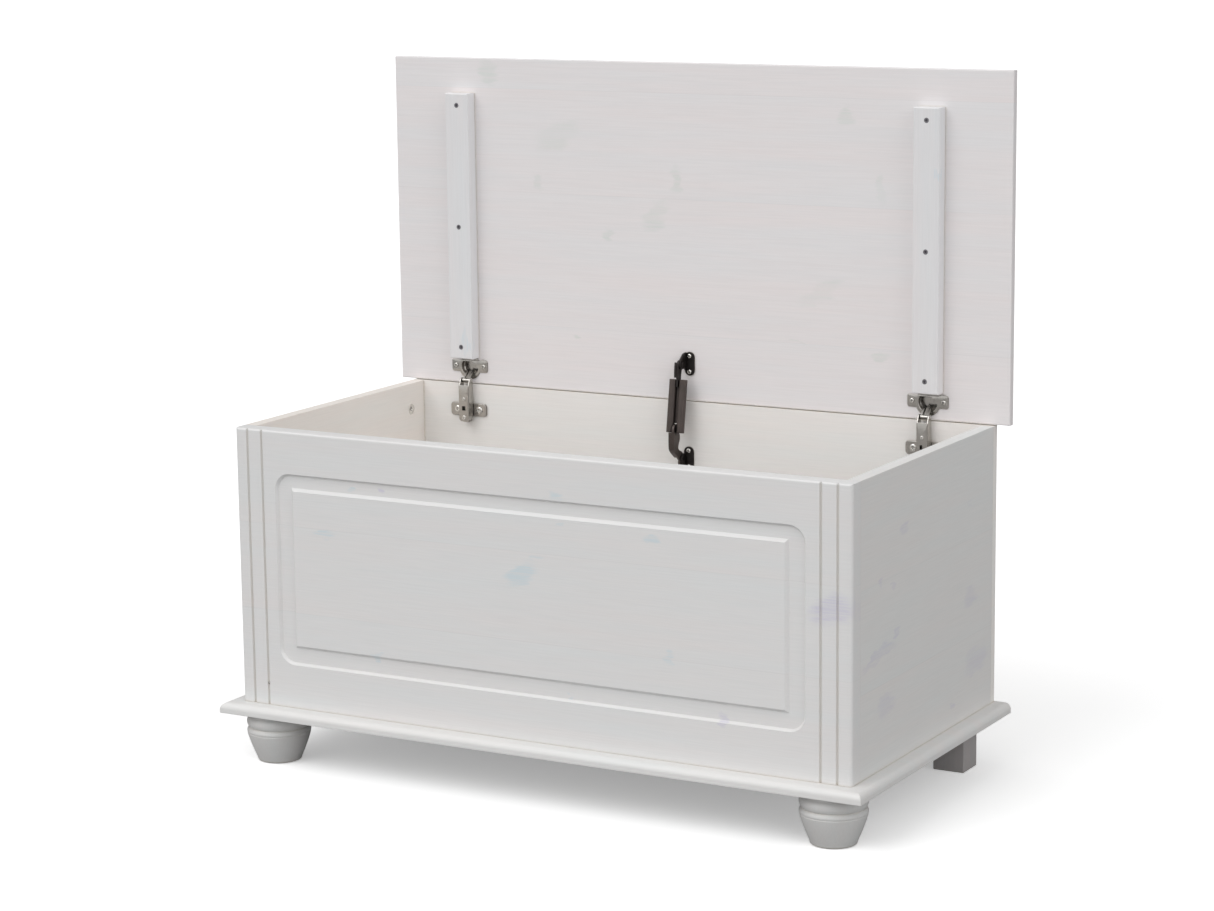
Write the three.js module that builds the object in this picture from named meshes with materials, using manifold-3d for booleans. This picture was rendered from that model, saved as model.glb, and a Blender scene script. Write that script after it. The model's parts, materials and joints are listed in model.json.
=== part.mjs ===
// A storage bench: a panelled pine chest on four feet, with a lid on two cup hinges and one lid stay.
// Millimetres, +Z up, front towards -Y. The lid stands open. In the working frame x = 0 is the middle,
// y = 0 the face of the front panel and z = 0 the floor; the last lines move the whole model so that its
// origin is the middle of the footprint.
import * as THREE from "three";
import { mergeVertices } from "three/addons/utils/BufferGeometryUtils.js";
import Module from "manifold-3d";

const wasm = await Module();
wasm.setup();

// ---- driving dimensions: the box ----
const bodyWidth = 900;
const bodyDepth = 450;
const panelHeight = 374;
const frontThickness = 24;
const sideThickness = 18;
const backThickness = 12;
const seam = 0.2; // gap between pieces that touch
const frontEdgeRound = 5;
const frontTopRound = 3;

// ---- base board and feet ----
const baseThickness = 14;
const baseFrontOverhang = 24;
const baseSideOverhang = 23;
const baseBackOverhang = 3;
const baseTopRound = 8.5;
const baseBottomRound = 0.8;
const footHeight = 68;
const footInsetX = 37; // from the side of the box to the middle of a turned foot
const footInsetY = 28;
const footCollarRadius = 40.5;
const footBeadRadius = 43.2;
const footBeadHeight = 14;
const footCollarHeight = 7;
const footNeckInset = 1.9; // depth of the crease between the two beads
const footTaperGap = 1; // between the taper and the lower bead
const footSoleHeight = 3;
const footTaperTopRadius = 41.5;
const footTaperBottomRadius = 30;
const footSoleRadius = 28.4;
const footTaperPower = 1.25;
const rearFootSize = 44;
const rearFootInsetX = 12;
const rearFootInsetY = 29;
const studRadius = 4;
const studInFoot = 22;
const studCover = 3; // wood left above a stud in the base board
const studEndGap = 0.5;

// ---- front panel decoration ----
const grooveInsets = [19.5, 42]; // from the end of the front panel to the middle of each groove
const grooveWidth = 4;
const grooveDepth = 2.5;
const recessInsetX = 62;
const recessInsetTop = 56;
const recessInsetBottom = 59;
const recessCornerRadius = 23;
const recessDepth = 4;
const recessSlope = 3;
const fieldInsetX = 24; // width of the sunk band beside the raised field
const fieldInsetTop = 19;
const fieldInsetBottom = 23;
const fieldSlope = 4;
const pinRadius = 1.8;
const pinUp = 29;
const pinLength = 9;
const pinSunk = 1; // how far its head lies below the face of the panel

// ---- lid ----
const lidThickness = 18;
const lidSideOverhang = 21;
const lidFrontOverhang = 14;
const lidBackSetback = 2;
const lidRound = 9;
const lidInnerRound = 1.5;
const openGap = 1.5; // between the top of the box and the lower edge of the open lid
const closedGap = 2; // between the top of the box and the closed lid
const lidOverBack = 8; // how far the open lid's inner face stands in front of the back of the box

// ---- battens ----
const battenWidth = 37;
const battenThickness = 19;
const battenInset = 92; // from the side of the box to the middle of a batten
const battenGap = 2.5; // between the flange of the hinge cup and the end of the batten
const battenTopMargin = 49;
const battenScrewEnd = 16.5;
const battenRound = 1.5;
const battenScrewCount = 3;

// ---- cup hinges ----
const hingeInset = 95;
const cupRadius = 17.3;
const cupDepth = 11.3;
const cupWall = 1.2;
const cupReliefGap = 0.6;
const cupEdge = 6.2; // wood between the lid's hinge edge and the cup
const cupCorner = 2; // round at the bottom of the cup
const flangeHeight = 20;
const flangeUp = 1; // the middle of the flange above the middle of the cup
const flangeThickness = 1;
const flangeScrewFromCup = 5.2;
const flangeEar = 7; // from a flange screw to the end of the flange
const flangeRimWidth = 0.9;
const flangeLowCorner = 4;
const flangeHighCorner = 3;
const flangeBridge = 2; // metal left above the mouth of the cup
const plateHeight = 18;
const plateThickness = 2.4;
const plateScrewFromArm = 10;
const plateEar = 11.5; // from a plate screw to the end of the plate
const plateCorner = 4;
const plateDown = 36.5; // from the top of the box to the middle of the mounting plate
const bossClearance = 1; // beside the boss, inside the arm
const bossToArm = 3.5; // in front of the boss, inside the arm
const bossHeight = 34;
const armWidth = 16;
const armWall = 1.5;
const armStandoff = 16;
const armClearance = 0.4; // between the arm's cheeks and the mounting plate
const armBottomDown = 52;
const armPinForward = 7; // from the inner face of the back panel to the hinge pin
const armPinUp = 6.5;
const armEarRadius = 3.6;
const armNose = 5; // round at the lower end of the arm
const armHeel = 6; // bevel at the back of the lower end
const armShoulderDown = 8; // from the top of the box to where the cheeks narrow
const armMouthDown = 3; // from the top of the arm's face to the opening for the link
const armSlotHalf = 2.5;
const armSlotDown = 33; // from the top of the box to the middle of the square slot
const hingePinRadius = 1.5;
const linkClearance = 0.8; // beside the link, inside the arm
const linkEyeRadius = 2.8;
const linkTipRadius = 1.6;
const linkLength = 19;
const linkOpenAngle = 42;
const hingePinProud = 0.6;

// ---- lid stay ----
const stayPlateX = 0;
const stayPlateWidth = 15;
const stayPlateHeight = 33;
const stayPlateThickness = 1.6;
const stayScrewSpacing = 21.8;
const stayUpperUp = 51; // from the lid's hinge edge to the upper pivot
const stayUpperForward = 13; // from the lid's inner face to the upper pivot
const stayLowerDown = 84; // from the top of the box to the lower pivot
const stayLowerForward = 7;
const stayLowerPlateUp = 5; // the lower plate's middle above its pivot
const stayEarThickness = 2;
const stayEarRadius = 6;
const stayArmThickness = 3.4;
const stayArmGap = 0.35;
const stayRivetRadius = 2.2;
const stayRivetHeadRadius = 4.2;
const stayRivetHeadHeight = 1.6;
const stayRivetTailRadius = 3.4;
const stayRivetTailHeight = 1.1;
const barrelRadius = 5.6;
const barrelClearance = 0.4; // on each side of the arms between the barrels
const barrelTopFromPivot = 20.5;
const barrelPastPin = 4;
const webHalfDepth = 4.5;
const webPastPin = 14;
const stayPlateRound = 7; // round at the ends of the oval plates
const earFlare = 2; // how much wider an ear is where it leaves its plate
const rivetInset = 0.5; // how far a rivet's shank reaches into its heads
const tangLength = 10.7;
const tangHalfDepth = 4.2;
const tangNeck = 2.5; // straight part of the upper arm above the barrels
const lowerEyeRadius = 8;

// ---- fasteners ----
const holeGap = 0.15;
const boreEndGap = 0.5;
const plateBoreLength = 4; // through a pressed plate and past it
const screwShankRadius = 1.7;
const screwLength = 11;
const screwPoint = 2;
const flangeScrewHeadRadius = 3.3;
const plateScrewHeadRadius = 4.2;
const stayScrewHeadRadius = 3.2;
const battenScrewHeadRadius = 3.4;
const screwHeadHeight = 1.8;
const battenScrewInLid = 10;
const camRadius = 7.5;
const camDepth = 12.5;
const camFromEnd = 34;
const camFromTop = 37;
const camFromBottom = 40;
const camRimInset = 0.3;
const crossReach = 3; // half the span of the cross slot in a cam
const crossWidth = 1.6;
const crossDepth = 2;

// ---- levels and places that follow from the sizes above ----
const baseBottom = footHeight;
const panelBottom = footHeight + baseThickness;
const boxTop = panelBottom + panelHeight;
const backInner = bodyDepth - backThickness;
const studInBase = baseThickness - studCover;
const footUpperBeadUp = footHeight - footCollarHeight - footBeadHeight / 2;
const footLowerBeadUp = footUpperBeadUp - footBeadHeight;
const footTaperTop = footLowerBeadUp - footBeadHeight / 2 - footTaperGap;
const lidInner = bodyDepth - lidOverBack;
const lidOuter = lidInner + lidThickness;
const lidBottom = boxTop + openGap;
const lidDepth = bodyDepth - lidBackSetback + lidFrontOverhang;
const lidTop = lidBottom + lidDepth;
const lidWidth = bodyWidth + 2 * lidSideOverhang;
const lidBackClosed = bodyDepth - lidBackSetback;
const lidAxis = {
  y: (lidInner + lidBackClosed + lidBottom - boxTop - closedGap) / 2,
  z: (lidBottom + lidBackClosed + boxTop + closedGap - lidInner) / 2,
};
const cupUp = cupRadius + cupEdge; // from the lid's hinge edge to the middle of the cup
const flangeScrewSpacing = 2 * (cupRadius + flangeScrewFromCup);
const flangeWidth = flangeScrewSpacing + 2 * flangeEar;
const battenUp = cupUp + flangeUp + flangeHeight / 2 + battenGap; // from the lid's hinge edge
const plateScrewSpacing = armWidth + 2 * plateScrewFromArm;
const plateWidth = plateScrewSpacing + 2 * plateEar;
const bossWidth = armWidth - 2 * (armWall + bossClearance);
const bossStandoff = armStandoff - armWall - bossToArm;
const linkWidth = armWidth - 2 * (armWall + linkClearance);
const barrelGap = stayArmThickness + 2 * barrelClearance;
const stayUpper = { y: lidInner - stayUpperForward, z: lidBottom + stayUpperUp };
const stayLower = { y: backInner - stayLowerForward, z: boxTop - stayLowerDown };
// The stay, the lid and the back of the box are a parallelogram, so the middle pivot follows from the others.
const stayMiddle = {
  y: stayLower.y + stayUpper.y - lidAxis.y,
  z: stayLower.z + stayUpper.z - lidAxis.z,
};
const hingePin = { y: backInner - armPinForward, z: boxTop + armPinUp };
// Facets in a full turn, by the size of what is turned.
const roundSteps = 12;
const camSteps = 24;
const cupSteps = 32;
const footSteps = 28;

// ---- materials ----
const finish = (color, roughness, metalness = 0) =>
  new THREE.MeshStandardMaterial({ color, roughness, metalness });
const glazedPine = finish("#d3d2d0", 0.5);
const shadedPine = finish("#c9c7c3", 0.6);
const nickel = finish("#a09b94", 0.3, 1);
const bronze = finish("#4b4442", 0.42, 0.9);
const brightZinc = finish("#c2c0bb", 0.28, 1);

// ---- geometry helpers ----
function toSolid(geometry) {
  const bare = geometry.index ? geometry.toNonIndexed() : geometry.clone();
  bare.deleteAttribute("normal");
  bare.deleteAttribute("uv");
  const merged = mergeVertices(bare, 1e-4);
  return new wasm.Manifold(
    new wasm.Mesh({
      numProp: 3,
      vertProperties: merged.attributes.position.array,
      triVerts: new Uint32Array(merged.index.array),
    }),
  );
}

function toGeometry(solid) {
  const mesh = solid.getMesh();
  const indexed = new THREE.BufferGeometry();
  indexed.setAttribute("position", new THREE.BufferAttribute(mesh.vertProperties, mesh.numProp));
  indexed.setIndex(new THREE.BufferAttribute(mesh.triVerts, 1));
  const flat = indexed.toNonIndexed();
  flat.computeVertexNormals();
  return flat;
}

function cut(geometry, tools) {
  return toGeometry(tools.reduce((rest, tool) => rest.subtract(toSolid(tool)), toSolid(geometry)));
}

function join(pieces) {
  return toGeometry(pieces.map(toSolid).reduce((all, piece) => all.add(piece)));
}

function common(first, second) {
  return toGeometry(toSolid(first).intersect(toSolid(second)));
}

function block(x0, x1, y0, y1, z0, z1) {
  const box = new THREE.BoxGeometry(x1 - x0, y1 - y0, z1 - z0);
  return box.translate((x0 + x1) / 2, (y0 + y1) / 2, (z0 + z1) / 2);
}

const axisX = new THREE.Vector3(1, 0, 0);
const axisY = new THREE.Vector3(0, 1, 0);
const axisZ = new THREE.Vector3(0, 0, 1);

function extrude(shape, depth, bevel = {}) {
  return new THREE.ExtrudeGeometry(shape, {
    depth,
    bevelEnabled: false,
    curveSegments: roundSteps / 2,
    ...bevel,
  });
}

// A shape drawn in (y, z) and carried along x from x0 to x1.
function alongX(shape, x0, x1) {
  const turn = new THREE.Matrix4().makeBasis(axisY, axisZ, axisX);
  return extrude(shape, x1 - x0).applyMatrix4(turn).translate(x0, 0, 0);
}

// A shape drawn in (x, z) and carried along y from y0 to y1.
function alongY(shape, y0, y1) {
  const turn = new THREE.Matrix4().makeBasis(axisX, axisZ, axisY.clone().negate());
  return extrude(shape, y1 - y0).applyMatrix4(turn).translate(0, y1, 0);
}

function alongZ(shape, z0, z1) {
  return extrude(shape, z1 - z0).translate(0, 0, z0);
}

// A rectangle from (a0, b0) to (a1, b1). The radii of its corners run lower left, lower right, upper right,
// upper left.
function rounded(a0, b0, a1, b1, radii) {
  const [lowerLeft, lowerRight, upperRight, upperLeft] = radii;
  const shape = new THREE.Shape();
  shape.moveTo(a0 + lowerLeft, b0);
  shape.lineTo(a1 - lowerRight, b0);
  if (lowerRight) shape.absarc(a1 - lowerRight, b0 + lowerRight, lowerRight, -Math.PI / 2, 0);
  shape.lineTo(a1, b1 - upperRight);
  if (upperRight) shape.absarc(a1 - upperRight, b1 - upperRight, upperRight, 0, Math.PI / 2);
  shape.lineTo(a0 + upperLeft, b1);
  if (upperLeft) shape.absarc(a0 + upperLeft, b1 - upperLeft, upperLeft, Math.PI / 2, Math.PI);
  shape.lineTo(a0, b0 + lowerLeft);
  if (lowerLeft) shape.absarc(a0 + lowerLeft, b0 + lowerLeft, lowerLeft, Math.PI, 1.5 * Math.PI);
  return shape;
}

function rodX(radius, x0, x1, y, z, steps = roundSteps) {
  const rod = new THREE.CylinderGeometry(radius, radius, x1 - x0, steps);
  return rod.rotateZ(Math.PI / 2).translate((x0 + x1) / 2, y, z);
}

function rodY(radius, x, y0, y1, z, steps = roundSteps) {
  const rod = new THREE.CylinderGeometry(radius, radius, y1 - y0, steps);
  return rod.translate(x, (y0 + y1) / 2, z);
}

function rodZ(radius, x, y, z0, z1) {
  const rod = new THREE.CylinderGeometry(radius, radius, z1 - z0, roundSteps);
  return rod.rotateX(Math.PI / 2).translate(x, y, (z0 + z1) / 2);
}

// A profile of [radius, height] pairs, from the axis back to the axis, turned about z.
function turned(profile, steps = roundSteps) {
  const points = profile.map(([radius, height]) => new THREE.Vector2(radius, height));
  return new THREE.LatheGeometry(points, steps).rotateX(Math.PI / 2);
}

// The outline round two circles and the straight sides between them.
function beltShape(from, fromRadius, to, toRadius) {
  const away = Math.atan2(to.z - from.z, to.y - from.y);
  const distance = Math.hypot(to.y - from.y, to.z - from.z);
  const open = Math.acos((fromRadius - toRadius) / distance);
  const shape = new THREE.Shape();
  shape.absarc(from.y, from.z, fromRadius, away + open, away - open + 2 * Math.PI);
  shape.absarc(to.y, to.z, toRadius, away - open, away + open);
  return shape;
}

const parts = new THREE.Group();

function place(name, geometry, material, parent = parts) {
  const mesh = new THREE.Mesh(geometry, material);
  mesh.name = name;
  parent.add(mesh);
}

const sides = [
  { name: "left", sign: -1 },
  { name: "right", sign: 1 },
];
const hingeX = (side) => side.sign * (bodyWidth / 2 - hingeInset);
const battenX = (side) => side.sign * (bodyWidth / 2 - battenInset);

// ---- screws ----
// A pan-head screw whose head seats on y = 0, with its shank towards +Y.
function panScrew(headRadius) {
  const shaft = turned([
    [0, -screwLength],
    [screwShankRadius / 2, -screwLength],
    [screwShankRadius, -screwLength + screwPoint],
    [screwShankRadius, 0],
    [headRadius, 0],
    [headRadius * 0.95, screwHeadHeight / 2],
    [headRadius * 0.7, screwHeadHeight * 0.88],
    [0, screwHeadHeight],
  ]);
  return shaft.rotateX(Math.PI / 2);
}

// The bore that a screw's shank needs, from the seat at y to past its end.
function screwBore(spot, length) {
  const end = spot.y + length + boreEndGap;
  return rodY(screwShankRadius + holeGap, spot.x, spot.y - screwHeadHeight, end, spot.z);
}

const flangeScrewSpots = (side) =>
  [-1, 1].map((end) => ({
    x: hingeX(side) + (end * flangeScrewSpacing) / 2,
    z: lidBottom + cupUp + flangeUp,
    y: lidInner - seam - flangeThickness - seam,
  }));
const plateScrewSpots = (side) =>
  [-1, 1].map((end) => ({
    x: hingeX(side) + (end * plateScrewSpacing) / 2,
    z: boxTop - plateDown,
    y: backInner - seam - plateThickness - seam,
  }));
const stayUpperSpots = [-1, 1].map((end) => ({
  x: stayPlateX,
  z: stayUpper.z + (end * stayScrewSpacing) / 2,
  y: lidInner - seam - stayPlateThickness - seam,
}));
const stayLowerSpots = [-1, 1].map((end) => ({
  x: stayPlateX,
  z: stayLower.z + stayLowerPlateUp + (end * stayScrewSpacing) / 2,
  y: backInner - seam - stayPlateThickness - seam,
}));
const battenTop = lidTop - battenTopMargin;
const battenBottom = lidBottom + battenUp;
const battenFace = lidInner - seam - battenThickness;
const battenScrewSpots = (side) =>
  Array.from({ length: battenScrewCount }, (_, i) => ({
    x: battenX(side),
    z:
      battenBottom +
      battenScrewEnd +
      (i * (battenTop - battenBottom - 2 * battenScrewEnd)) / (battenScrewCount - 1),
    y: battenFace,
  }));

// ---- panels ----
const recess = {
  left: -bodyWidth / 2 + recessInsetX,
  right: bodyWidth / 2 - recessInsetX,
  bottom: panelBottom + recessInsetBottom,
  top: boxTop - recessInsetTop,
};

// A flat tool with sloping sides, cut into the face at y = 0: the outline is its size at the face.
function slopedTool(outline, depth, slope) {
  const tool = extrude(outline, 1, {
    bevelEnabled: true,
    bevelSegments: 1,
    bevelSize: slope,
    bevelThickness: depth,
    bevelOffset: -slope,
  });
  const turn = new THREE.Matrix4().makeBasis(axisX, axisZ, axisY.clone().negate());
  return tool.applyMatrix4(turn);
}

function frontPanel() {
  const half = bodyWidth / 2;
  const plan = new THREE.Shape();
  plan.moveTo(-half, frontThickness);
  plan.lineTo(-half, frontEdgeRound);
  plan.absarc(-half + frontEdgeRound, frontEdgeRound, frontEdgeRound, Math.PI, 1.5 * Math.PI);
  const middles = grooveInsets.flatMap((inset) => [-half + inset, half - inset]);
  middles.sort((a, b) => a - b);
  for (const middle of middles) {
    plan.lineTo(middle - grooveWidth / 2, 0);
    plan.quadraticCurveTo(middle, 2 * grooveDepth, middle + grooveWidth / 2, 0);
  }
  plan.absarc(half - frontEdgeRound, frontEdgeRound, frontEdgeRound, -Math.PI / 2, 0);
  plan.lineTo(half, frontThickness);
  const grooved = alongZ(plan, panelBottom + seam, boxTop);
  const section = rounded(0, panelBottom, frontThickness, boxTop, [0, 0, 0, frontTopRound]);
  const board = common(grooved, alongX(section, -half - 1, half + 1));
  const outer = rounded(
    recess.left,
    recess.bottom,
    recess.right,
    recess.top,
    Array(4).fill(recessCornerRadius),
  );
  const field = rounded(
    recess.left + fieldInsetX,
    recess.bottom + fieldInsetBottom,
    recess.right - fieldInsetX,
    recess.top - fieldInsetTop,
    [0, 0, 0, 0],
  );
  const band = cut(slopedTool(outer, recessDepth, recessSlope), [raisedField(field)]);
  const pinBore = rodY(pinRadius + holeGap, pinX, -1, pinSunk + pinLength + boreEndGap, panelBottom + pinUp);
  return cut(board, [band, pinBore]);
}

// The raised field is widest at the bottom of the recess and narrows towards the face.
function raisedField(outline) {
  const past = 2; // how far the field reaches below the floor of the recess
  const growth = (fieldSlope * past) / recessDepth;
  const field = extrude(outline, past, {
    bevelEnabled: true,
    bevelSegments: 1,
    bevelSize: fieldSlope + growth,
    bevelThickness: recessDepth + past,
    bevelOffset: -fieldSlope - growth,
  });
  const turn = new THREE.Matrix4().makeBasis(axisX, axisZ, axisY.clone().negate());
  return field.applyMatrix4(turn).translate(0, recessDepth + past, 0);
}

const pinX = -bodyWidth / 2 + grooveInsets[1];

const camSpots = (side) =>
  [
    { name: "front", y: frontThickness + seam + camFromEnd },
    { name: "rear", y: backInner - seam - camFromEnd },
  ].flatMap((end) => [
    { name: end.name + "_upper", y: end.y, z: boxTop - camFromTop },
    { name: end.name + "_lower", y: end.y, z: panelBottom + camFromBottom },
  ]);

function sidePanel(side) {
  const inner = side.sign * (bodyWidth / 2 - sideThickness);
  const outer = (side.sign * bodyWidth) / 2;
  const panel = block(
    Math.min(inner, outer),
    Math.max(inner, outer),
    frontThickness + seam,
    backInner - seam,
    panelBottom + seam,
    boxTop,
  );
  const pockets = camSpots(side).map((spot) => {
    const deep = inner + side.sign * camDepth;
    const open = inner - side.sign;
    const [x0, x1] = [Math.min(deep, open), Math.max(deep, open)];
    return rodX(camRadius + holeGap, x0, x1, spot.y, spot.z, camSteps);
  });
  return cut(panel, pockets);
}

function backPanel() {
  const half = bodyWidth / 2;
  const panel = block(-half, half, backInner, bodyDepth, panelBottom + seam, boxTop);
  const spots = [...sides.flatMap(plateScrewSpots), ...stayLowerSpots];
  const bores = spots.map((spot) => screwBore(spot, screwLength));
  return cut(panel, bores);
}

const studSpots = sides.flatMap((side) => [
  {
    name: "front_" + side.name,
    x: side.sign * (bodyWidth / 2 - footInsetX),
    y: footInsetY,
  },
  {
    name: "rear_" + side.name,
    x: side.sign * (bodyWidth / 2 - rearFootInsetX - rearFootSize / 2),
    y: bodyDepth - rearFootInsetY - rearFootSize / 2,
  },
]);
const studBore = (spot) =>
  rodZ(
    studRadius + holeGap,
    spot.x,
    spot.y,
    baseBottom - studInFoot - studEndGap,
    baseBottom + studInBase + studEndGap,
  );

function baseBoard() {
  const halfWidth = bodyWidth / 2 + baseSideOverhang;
  const front = -baseFrontOverhang;
  const back = bodyDepth + baseBackOverhang;
  const low = baseBottomRound;
  const high = baseTopRound;
  const acrossX = alongY(
    rounded(-halfWidth, baseBottom, halfWidth, panelBottom, [low, low, high, high]),
    front - 1,
    back + 1,
  );
  const acrossY = alongX(
    rounded(front, baseBottom, back, panelBottom, [low, 0, 0, high]),
    -halfWidth - 1,
    halfWidth + 1,
  );
  return cut(common(acrossX, acrossY), studSpots.map(studBore));
}

// ---- feet ----
// From the sole: a slightly hollow taper, the lower bead, a crease, the upper bead and a collar.
function frontFoot(spot) {
  const profile = [
    [0, 0],
    [footSoleRadius, 0],
  ];
  const taperSteps = 5;
  const spread = footTaperTopRadius - footTaperBottomRadius;
  for (let i = 0; i <= taperSteps; i += 1) {
    const share = i / taperSteps;
    profile.push([
      footTaperBottomRadius + spread * share ** footTaperPower,
      footSoleHeight + (footTaperTop - footSoleHeight) * share,
    ]);
  }
  const beadSteps = 4;
  for (const middle of [footLowerBeadUp, footUpperBeadUp]) {
    for (let i = 0; i <= beadSteps; i += 1) {
      const off = (2 * i) / beadSteps - 1;
      const z = middle + (off * footBeadHeight) / 2;
      const last = profile[profile.length - 1][1];
      if (z > last + 0.5) profile.push([footBeadRadius - footNeckInset * off * off, z]);
    }
  }
  const beadTop = footUpperBeadUp + footBeadHeight / 2;
  profile.push([footCollarRadius, beadTop], [footCollarRadius, footHeight - seam], [0, footHeight - seam]);
  return cut(turned(profile, footSteps).translate(spot.x, spot.y, 0), [studBore(spot)]);
}

function rearFoot(spot) {
  const half = rearFootSize / 2;
  const foot = block(
    spot.x - half,
    spot.x + half,
    spot.y - half,
    spot.y + half,
    0,
    footHeight - seam,
  );
  return cut(foot, [studBore(spot)]);
}

// ---- lid and battens ----
const cupZ = lidBottom + cupUp;

function lidPanel() {
  const half = lidWidth / 2;
  const inner = lidInnerRound;
  const acrossX = alongZ(
    rounded(-half, lidInner, half, lidOuter, [inner, inner, lidRound, lidRound]),
    lidBottom - 1,
    lidTop + 1,
  );
  const acrossZ = alongX(
    rounded(lidInner, lidBottom, lidOuter, lidTop, [inner, lidRound, lidRound, inner]),
    -half - 1,
    half + 1,
  );
  const cupBores = sides.map((side) =>
    rodY(cupRadius + 2 * holeGap, hingeX(side), lidInner - 1, lidInner + cupDepth + seam, cupZ, cupSteps),
  );
  const spots = [...sides.flatMap(flangeScrewSpots), ...stayUpperSpots];
  const screwBores = spots.map((spot) => screwBore(spot, screwLength));
  const battenBoreEnd = lidInner + battenScrewInLid + boreEndGap;
  const battenBores = sides
    .flatMap(battenScrewSpots)
    .map((spot) => rodY(screwShankRadius + holeGap, spot.x, lidInner - 1, battenBoreEnd, spot.z));
  return cut(common(acrossX, acrossZ), [...cupBores, ...screwBores, ...battenBores]);
}

function batten(side) {
  const half = battenWidth / 2;
  const x = battenX(side);
  const front = battenFace;
  const back = lidInner - seam;
  const round = battenRound;
  const acrossX = alongZ(
    rounded(x - half, front, x + half, back, [round, round, 0, 0]),
    battenBottom - 1,
    battenTop + 1,
  );
  const acrossZ = alongX(
    rounded(front, battenBottom, back, battenTop, [round, 0, 0, round]),
    x - half - 1,
    x + half + 1,
  );
  const bores = battenScrewSpots(side).map((spot) => {
    const head = battenScrewHeadRadius + holeGap;
    const tool = countersunk(head, screwShankRadius + holeGap, battenThickness + 2, 1);
    return tool.translate(spot.x, spot.y, spot.z);
  });
  // A shallow relief in the back of the batten clears the rim of the hinge cup under its end.
  const relief = rodY(
    cupRadius + cupReliefGap,
    hingeX(side),
    lidInner - flangeThickness - cupReliefGap,
    lidInner + 1,
    cupZ,
    cupSteps,
  );
  return cut(common(acrossX, acrossZ), [...bores, relief]);
}

// A countersunk screw whose head is flush with y = 0, or with spare height in front, its tool.
function countersunk(headRadius, shankRadius, length, spare = 0) {
  const rim = 0.3;
  const cone = headRadius - shankRadius;
  const profile = [
    [0, -length],
    [shankRadius, -length],
    [shankRadius, -cone - rim],
    [headRadius, -rim],
    [headRadius, spare],
    [0, spare],
  ];
  return turned(profile).rotateX(Math.PI / 2);
}

function battenScrew(spot) {
  const length = battenThickness + battenScrewInLid;
  return countersunk(battenScrewHeadRadius, screwShankRadius, length).translate(spot.x, spot.y, spot.z);
}

// ---- cup hinges ----
// The cup is an open pan let into the lid, with a flange whose two ears carry the screws.
function hingeCup(side) {
  const x = hingeX(side);
  const face = lidInner - seam;
  const inside = cupRadius - cupWall;
  const section = [
    [0, 0],
    [cupRadius - cupCorner, 0],
    [cupRadius, cupCorner],
    [cupRadius, cupDepth],
    [inside, cupDepth],
    [inside, cupCorner + cupWall / 2],
    [cupRadius - cupCorner - cupWall / 2, cupWall],
    [0, cupWall],
  ];
  const pan = turned(section, cupSteps)
    .rotateX(Math.PI / 2)
    .translate(x, face - flangeThickness / 2 + cupDepth, cupZ);
  const halfWidth = flangeWidth / 2;
  const low = cupZ + flangeUp - flangeHeight / 2;
  const high = cupZ + flangeUp + flangeHeight / 2;
  const corners = [flangeLowCorner, flangeLowCorner, flangeHighCorner, flangeHighCorner];
  const ears = rounded(x - halfWidth, low, x + halfWidth, high, corners);
  const rim = new THREE.Shape();
  rim.absarc(x, cupZ, cupRadius + flangeRimWidth, 0, 2 * Math.PI);
  const rimLimit = rounded(x - halfWidth, cupZ - cupRadius - 2, x + halfWidth, high, [0, 0, 0, 0]);
  const plate = join([
    alongY(ears, face - flangeThickness, face),
    common(
      alongY(rim, face - flangeThickness, face),
      alongY(rimLimit, face - flangeThickness - 1, face + 1),
    ),
  ]);
  const mouth = rodY(inside, x, face - flangeThickness - 1, lidInner + 1, cupZ, cupSteps);
  const mouthLimit = block(
    x - cupRadius,
    x + cupRadius,
    face - flangeThickness - 2,
    lidInner + 2,
    cupZ - cupRadius,
    high - flangeBridge,
  );
  const screwHoles = flangeScrewSpots(side).map((spot) => screwBore(spot, plateBoreLength));
  return cut(join([plate, pan]), [common(mouth, mouthLimit), ...screwHoles]);
}

function mountingPlate(side) {
  const x = hingeX(side);
  const z = boxTop - plateDown;
  const back = backInner - seam;
  const front = back - plateThickness;
  const half = plateWidth / 2;
  const corners = Array(4).fill(plateCorner);
  const wings = rounded(x - half, z - plateHeight / 2, x + half, z + plateHeight / 2, corners);
  const boss = block(
    x - bossWidth / 2,
    x + bossWidth / 2,
    back - bossStandoff,
    back - plateThickness / 2,
    z - bossHeight / 2,
    z + bossHeight / 2,
  );
  const bores = plateScrewSpots(side).map((spot) => screwBore(spot, plateBoreLength));
  return cut(join([alongY(wings, front, back), boss]), bores);
}

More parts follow.
